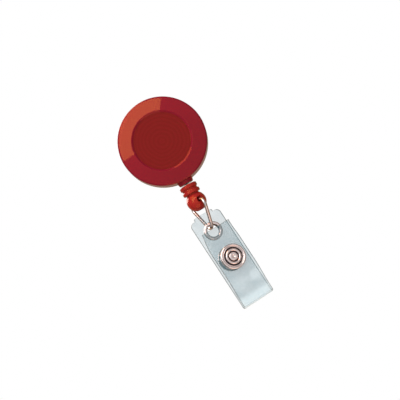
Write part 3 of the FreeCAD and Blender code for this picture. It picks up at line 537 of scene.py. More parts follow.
def shell(name, outline, low, high):
    made = lathe(name, outline, CASE, 180)
    carve(made, spout_half(low, high), operation="UNION")
    carve(made, cord_way())
    even_shading(made)
    return made


front_shell = shell("front_shell", front_outline, SEAM + SEAM_GAP, FACE)
dress(front_shell, "case", "case_plastic", "front_cover")
rear_shell = shell("rear_shell", rear_outline, CASE_BACK, SEAM - SEAM_GAP)
dress(rear_shell, "case", "case_plastic", "rear_cover")

# %% [markdown]
# ## The spool and its cord
# Through the clear plastic the spool's flanges and the wound cord show as faint rings, so they
# have to be there. The spool is turned like the shells, with round holes bored through its web.

# %% Spool
GROOVE, FLANGE, DRUM, FLANGE_RADIUS = 1.2, 0.8, 8.7, 13.4
HUB_RADIUS, HUB_RISE, SPOOL_BORE = 3.38, 0.75, 2.28
WEB_HOLES, WEB_CIRCLE, WEB_HOLE, DRUM_BACK = 6, 5.5, 1.15, 4.7
spool_front, spool_back = SEAM + GROOVE + FLANGE, SEAM - GROOVE - FLANGE
spool_body = lathe("spool_body", rounded([
    (SPOOL_BORE, SEAM + GROOVE),
    (DRUM - FLANGE, SEAM + GROOVE, 0.3),
    (DRUM - FLANGE, DRUM_BACK, 0.1),
    (DRUM, DRUM_BACK, 0.15),
    (DRUM, spool_back, 0.15),
    (FLANGE_RADIUS, spool_back, 0.25),
    (FLANGE_RADIUS, SEAM - GROOVE, 0.25),
    (DRUM, SEAM - GROOVE, 0.1),
    (DRUM, SEAM + GROOVE, 0.1),
    (FLANGE_RADIUS, SEAM + GROOVE, 0.25),
    (FLANGE_RADIUS, spool_front, 0.25),
    (HUB_RADIUS, spool_front, 0.2),
    (HUB_RADIUS, spool_front + HUB_RISE, 0.15),
    (SPOOL_BORE, spool_front + HUB_RISE),
]), CASE, 144)
drill_from, drill_to = SEAM + 0.5, SEAM + 3
drill = [(0, drill_from), (WEB_HOLE, drill_from), (WEB_HOLE, drill_to), (0, drill_to)]
for k in range(WEB_HOLES):
    turn = Matrix.Rotation(2 * math.pi * k / WEB_HOLES, 4, "Z") @ Matrix.Translation((WEB_CIRCLE, 0, 0))
    carve(spool_body, lathe("web_drill", drill, CASE @ turn, 40))
even_shading(spool_body)
dress(spool_body, "spool", "spool_plastic", "spool")

# %% [markdown]
# A cord or a wire is a tube swept along a line of points. Each ring of points keeps the last
# ring's direction as nearly as it can, so the tube doesn't twist.

# %% Tube


def tube(name, centres, radius, place, closed=False, sides=20):
    """A round tube along a line of points, with flat ends where it is open."""
    centres = [Vector(point) for point in centres]
    count = len(centres)
    side = None
    points, faces = [], []
    for n, centre in enumerate(centres):
        before = centres[n - 1] if closed or n else centre
        after = centres[(n + 1) % count] if closed or n < count - 1 else centre
        along = (after - before).normalized()
        side = side or along.orthogonal()
        side = (side - along * side.dot(along)).normalized()
        other = along.cross(side)
        for k in range(sides):
            angle = 2 * math.pi * k / sides
            points.append(centre + radius * (math.cos(angle) * side + math.sin(angle) * other))
    for n in range(count if closed else count - 1):
        here, there = n * sides, (n + 1) % count * sides
        for k in range(sides):
            nxt = (k + 1) % sides
            faces.append((here + k, here + nxt, there + nxt, there + k))
    if not closed:
        faces.append(tuple(range(sides)))
        faces.append(tuple(range((count - 1) * sides, count * sides)))
    piece = new_piece(name, points, faces, place)
    piece.data.shade_smooth()
    piece.data.set_sharp_from_angle(angle=SHARP * 2)
    return piece


print("tube helper ready")

# %% [markdown]
# The wound cord fills the spool's groove in layers. A ring would look solid, so it is one long
# spiral tube that goes to and fro across the groove, as a spool lays its cord.

# %% Wound cord
LAYERS, TURNS, STEPS, LAYER_RISE = 4, 3, 60, 1.86 * CORD
winding = []
for layer in range(LAYERS):
    radius = DRUM + CORD + 0.02 + layer * LAYER_RISE
    for step in range(TURNS * STEPS):
        across = (2 * step / (TURNS * STEPS) - 1) * (GROOVE - CORD - 0.06)
        angle = 2 * math.pi * step / STEPS
        depth = SEAM + (across if layer % 2 else -across)
        winding.append((radius * math.cos(angle), radius * math.sin(angle), depth))
dress(tube("wound_cord", winding, CORD, CASE, sides=12), "spool", "cord_nylon", "cord_winding")

# %% [markdown]
# A knot is a small trefoil: three sines tie a tube into it. One knot anchors the cord behind the
# spool's rear flange, and one at the far end holds the bead.

# %% Knots
KNOT_POINTS = 60
ANCHOR_OUT, ANCHOR_BEHIND, KNOT_DROP = 9.75, 0.75, 22.5


def knot(name, size, thick, at, body, stands_for):
    """A trefoil of cord, about size in radius."""
    loop = []
    for k in range(KNOT_POINTS):
        t = 2 * math.pi * k / KNOT_POINTS
        x, y = math.sin(t) + 2 * math.sin(2 * t), math.cos(t) - 2 * math.cos(2 * t)
        loop.append((size * x / 3, size * y / 3, -size * math.sin(3 * t) / 2))
    made = tube(name, loop, thick, at, closed=True, sides=12)
    return dress(made, body, "cord_nylon", stands_for)


anchor_at = CASE @ Matrix.Translation((-ANCHOR_OUT, 0, spool_back - ANCHOR_BEHIND))
knot("anchor_knot", 0.42, 0.22, anchor_at, "spool", "cord_anchor_knot")
knot("end_knot", 0.75, 0.3, BEAD @ Matrix.Translation((0, 0, -KNOT_DROP)), "cord_tip", "cord_end_knot")

# %% [markdown]
# Bent wire, folded strip and a cord over an edge are all straight runs joined by arcs that share
# their direction where they meet. One helper follows such a line from a list of moves, so a bend
# is given by its length and its turn, as a bending jig is set.

# %% Runs and arcs


def follow(start, heading, moves):
    """Samples (x, y, heading) along runs and tangent arcs. A move is (length, turn, spacing)."""
    x, y = start
    samples = [(x, y, heading)]
    for length, turn, spacing in moves:
        count = max(1, math.ceil(length / spacing))
        run, bend = length / count, turn / count
        chord = 2 * run / bend * math.sin(bend / 2) if bend else run
        for _ in range(count):
            x += chord * math.cos(heading + bend / 2)
            y += chord * math.sin(heading + bend / 2)
            heading += bend
            samples.append((x, y, heading))
    return samples


quarter = follow((0, 0), 0, [(math.pi / 2, math.pi / 2, 0.1)])
print("a quarter turn of radius 1 ends at", [round(v, 2) for v in quarter[-1]])

# %% [markdown]
# ## The pull cord
# The cord leaves the winding at a tangent, bends over the spout's mouth and drops to the knot in
# the bead. When the bead is pulled, the part inside the case stays and the rest pays out along a
# short stretch in the spout, so that stretch has many rings of points.

# %% Pull cord
MOUTH, LEAVE, MOUTH_BEND = 14.65, 11.9, 1.2
PAY_OUT, PAID_OUT, CORD_END = 16.1, 17.5, 21.4
lean_in = math.asin(LEAVE / MOUTH)
slant = math.sqrt(MOUTH ** 2 - LEAVE ** 2)
reach = MOUTH_BEND * math.tan(lean_in / 2)
cord_start = (slant * math.sin(lean_in), slant * math.cos(lean_in) - MOUTH)
cord_line = follow(cord_start, -math.pi / 2 - lean_in, [
    (slant - reach, 0, 0.6),
    (MOUTH_BEND * lean_in, lean_in, 0.12),
    (PAY_OUT - MOUTH - reach, 0, 0.3),
    (PAID_OUT - PAY_OUT, 0, 0.02),
    (CORD_END - PAID_OUT, 0, 0.3),
])
pull_cord = tube("pull_cord_run", [(x, y, SEAM) for x, y, heading in cord_line], CORD, CASE, sides=16)
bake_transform(pull_cord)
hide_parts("pull_cord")
print("pull_cord_run:", len(pull_cord.data.polygons), "faces, from case to cord_tip")

# %% [markdown]
# ## The bead
# The bead stops at the spout and carries the link. It is moulded in a lighter red: two ridges, a
# waist and a ball. The cord's hole runs down it to a pocket for the knot, and a cross hole with
# flared mouths takes the link's wire. The ball's outline is an arc, and the holes are cut out.

# %% Bead
BEAD_TOP, NECK, RIDGE, WAIST, BALL = 17.8, 2.9, 3.25, 2.35, 3.6
FIRST_RIDGE, SECOND_RIDGE, RIDGE_DEEP = 18.0, 20.1, 1.2
CROSS_HOLE, CROSS_MOUTH, MOUTH_DEEP, MOUTH_ROUND = 0.72, 1.25, 1.2, 0.3
BEAD_BORE, BEAD_FLARE, FLARE_FROM, POCKET, BELOW_BALL, PAST_BALL = 0.5, 0.8, 18.1, 1.3, 40, 5
ball_from = math.asin(WAIST / BALL)
ball_arc = [
    (BALL * math.sin(angle), -BALL_DROP + BALL * math.cos(angle))
    for angle in [ball_from + (math.pi - ball_from) * k / 28 for k in range(29)]
]
bead_outline = rounded([
    (0, -BEAD_TOP),
    (NECK + 0.05, -BEAD_TOP, 0.2),
    (NECK + 0.05, -FIRST_RIDGE, 0.03),
    (RIDGE, -FIRST_RIDGE, 0.12),
    (RIDGE, -FIRST_RIDGE - RIDGE_DEEP, 0.32),
    (NECK - 0.1, -FIRST_RIDGE - RIDGE_DEEP - 0.1, 0.2),
    (NECK - 0.1, -SECOND_RIDGE + 0.1, 0.2),
    (RIDGE, -SECOND_RIDGE, 0.32),
    (RIDGE, -SECOND_RIDGE - RIDGE_DEEP, 0.32),
    (WAIST, -SECOND_RIDGE - RIDGE_DEEP, 0.15),
], closed=False) + [Vector(point) for point in ball_arc]
cord_bead = lathe("bead_body", bead_outline, BEAD, 96)
bore_top = 0.1 - BEAD_TOP
cord_bore = [
    (0, -BALL_DROP), (BEAD_BORE, -BALL_DROP), (BEAD_BORE, -FLARE_FROM), (BEAD_FLARE, bore_top), (0, bore_top),
]
knot_pocket = [(0, -BELOW_BALL), (POCKET, -BELOW_BALL), (POCKET, -CORD_END), (0, -CORD_END)]
across_ball = BEAD @ Matrix.Translation((0, 0, -BALL_DROP)) @ Matrix.Rotation(math.radians(90), 4, "X")
cross_bore = rounded([
    (0, -PAST_BALL),
    (CROSS_MOUTH + MOUTH_DEEP, -PAST_BALL),
    (CROSS_MOUTH, -BALL + 0.1, MOUTH_ROUND),
    (CROSS_HOLE, -BALL + MOUTH_DEEP, MOUTH_ROUND),
    (CROSS_HOLE, BALL - MOUTH_DEEP, MOUTH_ROUND),
    (CROSS_MOUTH, BALL - 0.1, MOUTH_ROUND),
    (CROSS_MOUTH + MOUTH_DEEP, PAST_BALL),
    (0, PAST_BALL),
])
carve(cord_bead, lathe("cord_bore", cord_bore, BEAD, 32), lathe("knot_pocket", knot_pocket, BEAD, 48),
      lathe("cross_bore", cross_bore, across_ball, 48))
even_shading(cord_bead)
dress(cord_bead, "bead", "bead_plastic", "cord_bead")

# %% [markdown]
# ## The wire link
# The link is one piece of nickelled wire bent into a long triangle, with its ends butted inside
# the ball. Its line is runs and tangent arcs, as a bending jig makes them, swept with a circle.

# %% Wire link
WIRE, BAR, SHOULDER, TOE, LINK_HEIGHT = 0.6, 6.8, 2.1, 2.2, 10.9
toe_below = LINK_HEIGHT - TOE
run = math.hypot(BAR / 2, toe_below - SHOULDER)
leg_slope = math.atan2(BAR / 2, toe_below - SHOULDER)
shoulder_turn = math.pi / 2 + leg_slope - math.asin((SHOULDER - TOE) / run)
leg = math.sqrt(run ** 2 - (SHOULDER - TOE) ** 2)
toe_turn = 2 * math.pi - 2 * shoulder_turn
shoulder_move = (SHOULDER * shoulder_turn, -shoulder_turn, 0.25)
link_line = follow((-BAR / 2, 0), 0, [
    (BAR, 0, 0.8),
    shoulder_move,
    (leg, 0, 0.8),
    (TOE * toe_turn, -toe_turn, 0.25),
    (leg, 0, 0.8),
    shoulder_move,
])
link_centres = [(x, y, 0) for x, y, heading in link_line[:-1]]
link_body = tube("link_body", link_centres, WIRE, LINK, closed=True, sides=28)
dress(link_body, "link", "link_nickel", "wire_link")

# %% [markdown]
# The strap and the belt clip are flat strips, bent only one way. A ribbon sweeps a thin section
# with eased edges along the strip's side view. Its width may change along the way, and a shape
# function can bend the finished points a little further.

# %% Ribbon


def ribbon(name, samples, thickness, half_width, place, columns=1, edge=0.08, shape=None):
    """A flat strip swept along samples. half_width gives its width at a distance from its start."""
    points, faces = [], []
    travelled, last = 0, samples[0]
    half = thickness / 2
    for x, y, heading in samples:
        travelled += math.dist((x, y), last[:2])
        last = (x, y)
        wide = half_width(travelled)
        flat = [-wide + edge + 2 * (wide - edge) * k / columns for k in range(columns + 1)]
        section = [(a, half) for a in flat] + [(wide, half - edge), (wide, edge - half)]
        section += [(a, -half) for a in reversed(flat)] + [(-wide, edge - half), (-wide, half - edge)]
        for across, off in section:
            point = Vector((x - off * math.sin(heading), y + off * math.cos(heading), across))
            points.append(shape(point) if shape else point)
    size = len(section)
    for n in range(len(samples) - 1):
        for k in range(size):
            nxt = (k + 1) % size
            faces.append((n * size + k, n * size + nxt, (n + 1) * size + nxt, (n + 1) * size + k))
    for first in (0, (len(samples) - 1) * size):
        top, low = first, first + 2 * columns + 3
        for k in range(columns):
            faces.append((top + k, top + k + 1, low - k - 1, low - k))
        faces.append((first + columns, first + columns + 1, first + columns + 2, first + columns + 3))
        faces.append((top, low, low + 1, low + 2))
    return new_piece(name, points, faces, place)


print("ribbon helper ready")

# %% [markdown]
# ## The strap
# One strip of clear vinyl makes both leaves: down the back, round the fold and up the front to a
# square free end that stands off and twists a little, as snapped vinyl does. A ribbon swept along
# the strip's side view keeps its thickness everywhere, and its width narrows at the shoulders and
# the tab.

# %% Strap sizes, width and twist
VINYL, STRAP_WIDTH, FOLD = 0.5, 12.7, 0.75
LEAF_TOP, TAB, TAB_WIDTH, SHOULDER_ROUND, TAB_ROUND = 6.1, 1.0, 7.8, 1.7, 0.5
FOLD_LOW, SNAP_DROP, SNAP_FLAT, LEAF_SPACING = -28.35, 11.6, 9.4, 2.8
FREE_RISE, FREE_BOW, FREE_TWIST = 0.45, 1.4, math.radians(12)
BACK_LEAF, FRONT_LEAF, WAVE, WAVE_EASE, EDGE_EASE = -0.3, -1.2, 0.10, 3, 0.18


def strap_half_width(travelled):
    """The strap's half width at a distance down from the top of its tab."""
    if travelled <= TAB + 0.001:
        full, left, radius = TAB_WIDTH / 2, TAB_ROUND - travelled, TAB_ROUND
    else:
        full, left, radius = STRAP_WIDTH / 2, SHOULDER_ROUND - (travelled - TAB), SHOULDER_ROUND
    left = max(0, left)
    return full - radius + math.sqrt(radius ** 2 - left ** 2)


def strap_shape(point):
    """Twists the front leaf's free end and gives the vinyl a slight wave."""
    back, up, across = point
    if back < FRONT_LEAF:
        free_from = SNAP_FLAT / 2 - SNAP_DROP
        share = min(1, max(0, (up - free_from) / (FREE_RISE - free_from)))
        twist = FREE_TWIST * share * share * (3 - 2 * share)
        wave = WAVE * math.sin(0.42 * up + 0.5) * math.cos(0.5 * across) * min(1, FRONT_LEAF - back)
        clear_of_snap = min(1, max(0, abs(up + SNAP_DROP) - SNAP_FLAT / 2) / WAVE_EASE)
        back += across * math.sin(twist) + wave * clear_of_snap
        across *= math.cos(twist)
    return Vector((back, up, across))


print("strap half width", strap_half_width(0), "mm at the tab,", strap_half_width(9), "mm below it")

# %% [markdown]
# The strap's side view is one line: down the back leaf, half a turn at the fold, an S-shaped rise
# to the front leaf, flat past the snap, and a bow out to the free end. The radii of the S and the
# bow follow from how far each has to climb over how long a run.

# %% The strap's side view
rise_run, rise_off = -FOLD_LOW - SNAP_DROP - SNAP_FLAT / 2, LEAF_SPACING - 2 * FOLD
rise_radius = (rise_run ** 2 + rise_off ** 2) / (4 * rise_off)
rise_turn = math.asin(rise_run / 2 / rise_radius)
bow_run = SNAP_DROP - SNAP_FLAT / 2 + FREE_RISE
bow_radius = (bow_run ** 2 + FREE_BOW ** 2) / (2 * FREE_BOW)
bow_turn = math.asin(bow_run / bow_radius)
strap_line = follow((0, LEAF_TOP + TAB), -math.pi / 2, [
    (TAB, 0, 0.125),
    (0.02, 0, 0.02),
    (SHOULDER_ROUND, 0, 0.17),
    (LEAF_TOP - SHOULDER_ROUND - FOLD_LOW - 0.02, 0, 0.9),
    (math.pi * FOLD, -math.pi, 0.15),
    (rise_radius * rise_turn, rise_turn, 0.7),
    (rise_radius * rise_turn, -rise_turn, 0.7),
    (SNAP_FLAT, 0, 0.8),
    (bow_radius * bow_turn, bow_turn, 0.5),
])
print("strap line:", len(strap_line), "points")

# %% [markdown]
# The ribbon is swept along that line, and the holes for the eyelet and the snap are cut.

# %% Strap strip
EYELET_HOLE, CAP_HOLE, RING_HOLE = 2.55, 1.35, 1.05
strap_strip = ribbon("strap_strip", strap_line, VINYL, strap_half_width, STRAP_SIDE, columns=14,
                     edge=EDGE_EASE, shape=strap_shape)
AT_SNAP = STRAP @ Matrix.Translation((0, -SNAP_DROP, 0))
carve(strap_strip,
      lathe("eyelet_hole", [(0, -1), (EYELET_HOLE, -1), (EYELET_HOLE, 1), (0, 1)], STRAP, 64),
      lathe("cap_hole", [(0, -1), (CAP_HOLE, -1), (CAP_HOLE, 1), (0, 1)], AT_SNAP, 40),
      lathe("ring_hole", [(0, 2), (RING_HOLE, 2), (RING_HOLE, 4), (0, 4)], AT_SNAP, 40))
even_shading(strap_strip)
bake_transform(strap_strip)
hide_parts("strap_back_leaf", "strap_fold", "strap_front_leaf")
print("strap_strip:", len(strap_strip.data.polygons), "faces, from strap_back to strap_front")

# %% [markdown]
# ## Eyelet and snap
# These are stampings of thin sheet, rolled at their edges, and everything on them is round. Their
# outlines carry large radii where the metal is rolled over, and the ring has the two deep grooves
# round its hub that make a snap look like a target.

# %% Eyelet and snap pieces


def turned_on_strap(name, outline, place, body, stands_for, segments=96):
    made = lathe(name, rounded(outline), place, segments)
    even_shading(made)
    return dress(made, body, "snap_nickel", stands_for)


turned_on_strap("eyelet_body", [
    (2.2, -0.9, 0.2), (2.85, -0.9, 0.15), (2.85, -0.55, 0.15), (2.5, -0.55), (2.5, 0.25),
    (3.4, 0.25, 0.12), (3.4, 0.8, 0.38), (2.2, 0.8, 0.5),
], STRAP, "strap_back", "eyelet")
turned_on_strap("back_washer", [
    (2.55, -0.55, 0.08), (3.4, -0.55, 0.14), (3.4, -0.25, 0.05), (2.55, -0.25, 0.05),
], STRAP, "strap_back", "eyelet_washer")
turned_on_strap("rear_cap", [
    (0, -1.25), (1.6, -1.3, 0.6), (2.6, -1.45, 0.5), (4.57, -1.45, 0.6), (4.57, -0.25, 0.15),
    (1.3, -0.25), (1.3, 0.7, 0.1), (0, 0.7),
], AT_SNAP, "strap_back", "snap_cap")
turned_on_strap("socket_body", [
    (1.35, 0.25), (4.2, 0.25, 0.1), (4.2, 0.75, 0.25), (2.9, 0.75, 0.25), (2.9, 1.75, 0.35),
    (2.05, 1.75, 0.3), (2.05, 0.75, 0.1), (1.35, 0.75),
], AT_SNAP, "strap_back", "snap_socket")
turned_on_strap("stud_body", [
    (1.05, 2.55), (3.5, 2.55, 0.1), (3.5, 2.2, 0.15), (1.89, 2.2, 0.15), (1.97, 1.4, 0.25),
    (1.73, 0.9, 0.2), (1.05, 0.9, 0.15),
], AT_SNAP, "strap_front", "snap_stud")
turned_on_strap("ring_body", [
    (0, 1.6), (1.0, 1.6, 0.1), (1.0, 3.05), (4.35, 3.05, 0.1), (4.57, 3.2, 0.1), (4.57, 3.85, 0.34),
    (3.85, 3.85, 0.3), (3.78, 3.55, 0.1), (3.45, 3.7, 0.14), (3.38, 3.3, 0.08), (2.92, 3.3, 0.08),
    (2.86, 4.1, 0.4), (2.0, 4.1, 0.38), (1.95, 3.3, 0.06), (1.6, 3.3, 0.06), (1.48, 3.8, 0.3),
    (0.62, 3.8, 0.16), (0.35, 3.5, 0.15), (0, 3.5),
], AT_SNAP, "strap_front", "snap_ring", 128)

# %% [markdown]
# ## The belt clip
# Behind the case a strip of spring steel is folded over into a clip and riveted on. It is the
# same kind of ribbon as the strap, stiffer: a plate, a half-round bend, a tongue and a curled lip
# that lets a belt in.

# %% Belt clip
STRIP, CLIP_WIDTH, BELT_GAP = 0.5, 10.0, 5.0
PLATE_DROP, CLIP_RISE, TONGUE_DROP, LIP_BEND, CLIP_CORNER = 9.0, 12.2, 10.0, 3.0, 2.0
LIP_TURN = math.radians(45)
clip_bend = (BELT_GAP + STRIP) / 2
clip_length = PLATE_DROP + 2 * CLIP_RISE + TONGUE_DROP + math.pi * clip_bend + LIP_BEND * LIP_TURN


def clip_half_width(travelled):
    """The clip's half width: rounded corners at the plate's end and at the lip."""
    from_end = min(travelled, clip_length - travelled)
    left = max(0, CLIP_CORNER - max(0, from_end))
    return CLIP_WIDTH / 2 - CLIP_CORNER + math.sqrt(CLIP_CORNER ** 2 - left ** 2)


clip_line = follow((-clip_bend, -PLATE_DROP), math.pi / 2, [
    (CLIP_CORNER, 0, 0.12),
    (PLATE_DROP - CLIP_CORNER + CLIP_RISE, 0, 2),
    (math.pi * clip_bend, -math.pi, 0.4),
    (CLIP_RISE + TONGUE_DROP, 0, 2),
    (LIP_BEND * LIP_TURN, LIP_TURN, 0.1),
])
clip_strip = ribbon("clip_strip", clip_line, STRIP, clip_half_width, CLIP_SIDE, columns=8, edge=0.12)
even_shading(clip_strip)
dress(clip_strip, "case", "spring_steel", "belt_clip")

# %% [markdown]
# The rivet comes through the plate from the belt side. Its head is low and domed, so that a belt
# slides over it, and its shank fills the bore of the case's post.

# %% Rivet
RIVET_CROWN, RIVET_HEAD, RIVET_SHANK, SHANK_END = 1.3, 2.4, 1.0, 5.1
head_seat = BELT_GAP / 2
clip_rivet = lathe("rivet_body", rounded([
    (0, head_seat - 0.4), (RIVET_CROWN, head_seat - 0.4, 0.4), (RIVET_HEAD, head_seat - 0.15, 0.12),
    (RIVET_HEAD, head_seat, 0.03), (RIVET_SHANK, head_seat), (RIVET_SHANK, SHANK_END, 0.1), (0, SHANK_END),
]), CASE, 64)
even_shading(clip_rivet)
dress(clip_rivet, "case", "rivet_metal", "clip_rivet")

# %% [markdown]
# ## Finishes
# Effects that several finishes share are node groups, each built once and placed in every
# material with values of its own. Each gives out one value that varies over the surface, and a
# material decides what it does with it. The values follow the piece's own space, in metres, so
# they move with the piece.

# %% An effect group


def effect(name, inputs):
    """A node group with float inputs and one output, Value."""
    tree = bpy.data.node_groups.new(name, "ShaderNodeTree")
    for label, value in inputs.items():
        socket = tree.interface.new_socket(name=label, in_out="INPUT", socket_type="NodeSocketFloat")
        socket.default_value = value
    tree.interface.new_socket(name="Value", in_out="OUTPUT", socket_type="NodeSocketFloat")
    return tree, tree.nodes.new("NodeGroupInput"), tree.nodes.new("NodeGroupOutput")


print("effects have inputs of their own and one output, Value")

# %% [markdown]
# Rubbing leaves very fine scratches that cross. A noise stretched along one way has long thin
# ridges, and only its highest parts are kept. Two of them, turned apart, give the crossing.

# %% Fine scratches


def scratches():
    """Thin lines from two stretched noises, one along each of two crossing ways."""
    tree, given, out = effect("fine_scratches", {"Scale": 1500.0, "Share": 0.3})
    place = node(tree, "TexCoord")
    lines = []
    for turn in ((0.3, 0.2, 0.5), (1.1, 0.7, 2.2)):
        turned = node(tree, "Mapping", Rotation=turn, Scale=(1.0, 0.04, 1.0))
        grain = node(tree, "TexNoise", Detail=2.0, Roughness=0.6)
        thin = node(tree, "MapRange", From_Min=0.62, From_Max=0.72)
        link_up(tree, (place.outputs["Object"], turned.inputs["Vector"]),
                (turned.outputs[0], grain.inputs["Vector"]), (given.outputs["Scale"], grain.inputs["Scale"]),
                (grain.outputs["Fac"], thin.inputs["Value"]))
        lines.append(thin.outputs["Result"])
    both = node(tree, "Math", operation="MAXIMUM")
    share = node(tree, "Math", operation="MULTIPLY")
    link_up(tree, (lines[0], both.inputs[0]), (lines[1], both.inputs[1]), (both.outputs[0], share.inputs[0]),
            (given.outputs["Share"], share.inputs[1]), (share.outputs[0], out.inputs["Value"]))
    return tree


SCRATCHES = scratches()
print("made", SCRATCHES.name)

# %% [markdown]
# No moulded or rolled surface is quite flat. Broad ripples make a reflection bend slowly, and a
# finer grain on them takes the hard shine off.

# %% Surface unevenness
GRAIN_FINER = 14.0


def unevenness():
    """Broad ripples with fine grain on them."""
    tree, given, out = effect("surface_unevenness", {"Scale": 150.0, "Grain": 0.3})
    place = node(tree, "TexCoord")
    broad = node(tree, "TexNoise", Detail=1.0)
    fine = node(tree, "TexNoise", Detail=3.0)
    finer = node(tree, "Math", operation="MULTIPLY")
    finer.inputs[1].default_value = GRAIN_FINER
    add = node(tree, "Math", operation="MULTIPLY_ADD")
    link_up(tree, (place.outputs["Object"], broad.inputs["Vector"]),
            (place.outputs["Object"], fine.inputs["Vector"]), (given.outputs["Scale"], broad.inputs["Scale"]),
            (given.outputs["Scale"], finer.inputs[0]), (finer.outputs[0], fine.inputs["Scale"]),
            (fine.outputs["Fac"], add.inputs[0]), (given.outputs["Grain"], add.inputs[1]),
            (broad.outputs["Fac"], add.inputs[2]), (add.outputs[0], out.inputs["Value"]))
    return tree


UNEVENNESS = unevenness()
print("made", UNEVENNESS.name)

# %% [markdown]
# A badge reel is pulled many times a day, so fingers leave smudges: soft patches that are a
# little duller than the rest.

# %% Handling smudges


def handling():
    """Soft-edged smudges."""
    tree, given, out = effect("handling_smudges", {"Scale": 220.0, "Amount": 0.1})
    place = node(tree, "TexCoord")
    cloud = node(tree, "TexNoise", Detail=4.0, Roughness=0.65, Distortion=0.8)
    patch = node(tree, "MapRange", From_Min=0.42, From_Max=0.66)
    amount = node(tree, "Math", operation="MULTIPLY")
    link_up(tree, (place.outputs["Object"], cloud.inputs["Vector"]),
            (given.outputs["Scale"], cloud.inputs["Scale"]),
            (cloud.outputs["Fac"], patch.inputs["Value"]), (patch.outputs["Result"], amount.inputs[0]),
            (given.outputs["Amount"], amount.inputs[1]), (amount.outputs[0], out.inputs["Value"]))
    return tree


SMUDGES = handling()
print("made", SMUDGES.name)

# %% [markdown]
# A finish starts from one Principled surface. The constants go straight onto its own sockets, and
# the shared effects drive what varies: smudges and scratches raise the roughness from its lowest
# value, and the unevenness and the scratches together make a shallow bump.

# %% A surface with its effects


def surface(name, rough, smudge=(220, 0.08), scratch=(1500, 0.15), uneven=(150, 0.3), bump=0.1,
            depth=0.04 * MM, **constants):
    """A material with a Principled surface, varied by the shared effects."""
    material = bpy.data.materials.new(name)
    material.use_nodes = True
    tree = material.node_tree
    tree.nodes.clear()
    out = node(tree, "OutputMaterial")
    shader = node(tree, "BsdfPrincipled", **constants)

    def placed(effect_tree, **values):
        made = tree.nodes.new("ShaderNodeGroup")
        made.node_tree = effect_tree
        for label, value in values.items():
            made.inputs[label].default_value = value
        return made.outputs["Value"]

    smudged = placed(SMUDGES, Scale=smudge[0], Amount=smudge[1])
    scratched = placed(SCRATCHES, Scale=scratch[0], Share=scratch[1])
    rippled = placed(UNEVENNESS, Scale=uneven[0], Grain=uneven[1])
    worn = node(tree, "Math", operation="ADD")
    total = node(tree, "Math", operation="ADD", use_clamp=True)
    total.inputs[1].default_value = rough
    relief = node(tree, "Math", operation="SUBTRACT")
    raised = node(tree, "Bump", Strength=bump, Distance=depth)
    link_up(tree, (smudged, worn.inputs[0]), (scratched, worn.inputs[1]), (worn.outputs[0], total.inputs[0]),
            (total.outputs[0], shader.inputs["Roughness"]), (rippled, relief.inputs[0]),
            (scratched, relief.inputs[1]), (relief.outputs[0], raised.inputs["Height"]),
            (raised.outputs["Normal"], shader.inputs["Normal"]), (shader.outputs[0], out.inputs["Surface"]))
    return material, tree, shader, smudged


def two_tone(tree, target, mask, first, second):
    """A colour that varies between two, led by a mask, into a socket."""
    tones = node(tree, "Mix", data_type="RGBA")
    for socket in tones.inputs:
        if socket.name in ("A", "B") and socket.type == "RGBA":
            socket.default_value = (*(first if socket.name == "A" else second), 1)
    colour_out = [socket for socket in tones.outputs if socket.type == "RGBA"][0]
    link_up(tree, (mask, tones.inputs[0]), (colour_out, target))


print("surface helper ready")

# %% [markdown]
# Clear red plastic is dyed all through. Light that comes out of it has turned from red to orange
# where it ran a short way, so the gloss is tinted orange too. The surface passes part of the
# light like glass, to let the spool show faintly, and scatters the rest as a dyed body does. The label
# face has rings of two near tones, because the spool's rings are blurred behind it. They are a
# ring-shaped wave; a wave node of scale 1 repeats every tenth of pi.

# %% Red plastics
WAVE_LENGTH = math.pi / 10
CLEAR_ROUGH, CLEAR_SHARE, DYE_TINT, RING_SPACING = 0.03, 0.45, (1.0, 0.30, 0.06, 1), 1.4


def red_plastic(name, shade, lighter, rough, clear, tint, rings=0):
    """A red plastic. With rings, its two tones lie in rings round the case's axis, that far apart."""
    material, tree, plastic, _ = surface(
        name, rough, smudge=(180, 0.03), scratch=(900, 0.04), uneven=(120, 0.08), bump=0.02,
        Transmission_Weight=clear, IOR=1.5, Specular_Tint=tint)
    cloud = node(tree, "TexNoise", Scale=60.0, Detail=1.0)
    if rings:
        cloud = node(tree, "TexWave", wave_type="RINGS", rings_direction="Y", Distortion=4.0, Detail=2.0,
                     Detail_Scale=0.6, Scale=WAVE_LENGTH / (rings * MM))
    place = node(tree, "TexCoord")
    link_up(tree, (place.outputs["Object"], cloud.inputs["Vector"]))
    two_tone(tree, plastic.inputs["Base Color"], cloud.outputs["Fac"], shade, lighter)
    return material


case_red = red_plastic("clear_red_plastic", (0.35, 0.014, 0.040), (0.39, 0.016, 0.044), CLEAR_ROUGH,
                       CLEAR_SHARE, DYE_TINT)
label_red = red_plastic("label_red_plastic", (0.265, 0.010, 0.019), (0.30, 0.012, 0.023), CLEAR_ROUGH,
                        CLEAR_SHARE, DYE_TINT, rings=RING_SPACING)
bead_red = red_plastic("bead_red_plastic", (0.40, 0.020, 0.022), (0.46, 0.026, 0.022), 0.10, 0.25,
                       (1.0, 0.40, 0.12, 1))
spool_red = red_plastic("spool_red_plastic", (0.22, 0.010, 0.010), (0.27, 0.013, 0.012), 0.28, 0.0,
                        (1.0, 0.8, 0.7, 1))
print("red plastics:", case_red.name, label_red.name, bead_red.name, spool_red.name)

# %% [markdown]
# Nickel is bright and slightly warm. Drawn wire carries marks along its length, stampings keep a
# soft ripple and a haze of fine scratches from rubbing, and the belt clip's spring steel is
# darker, with a coarser rolled grain.

# %% Metals


def metal(name, first, second, rough, **finish):
    material, tree, bright, smudged = surface(name, rough, Metallic=1.0, **finish)
    two_tone(tree, bright.inputs["Base Color"], smudged, first, second)
    return material


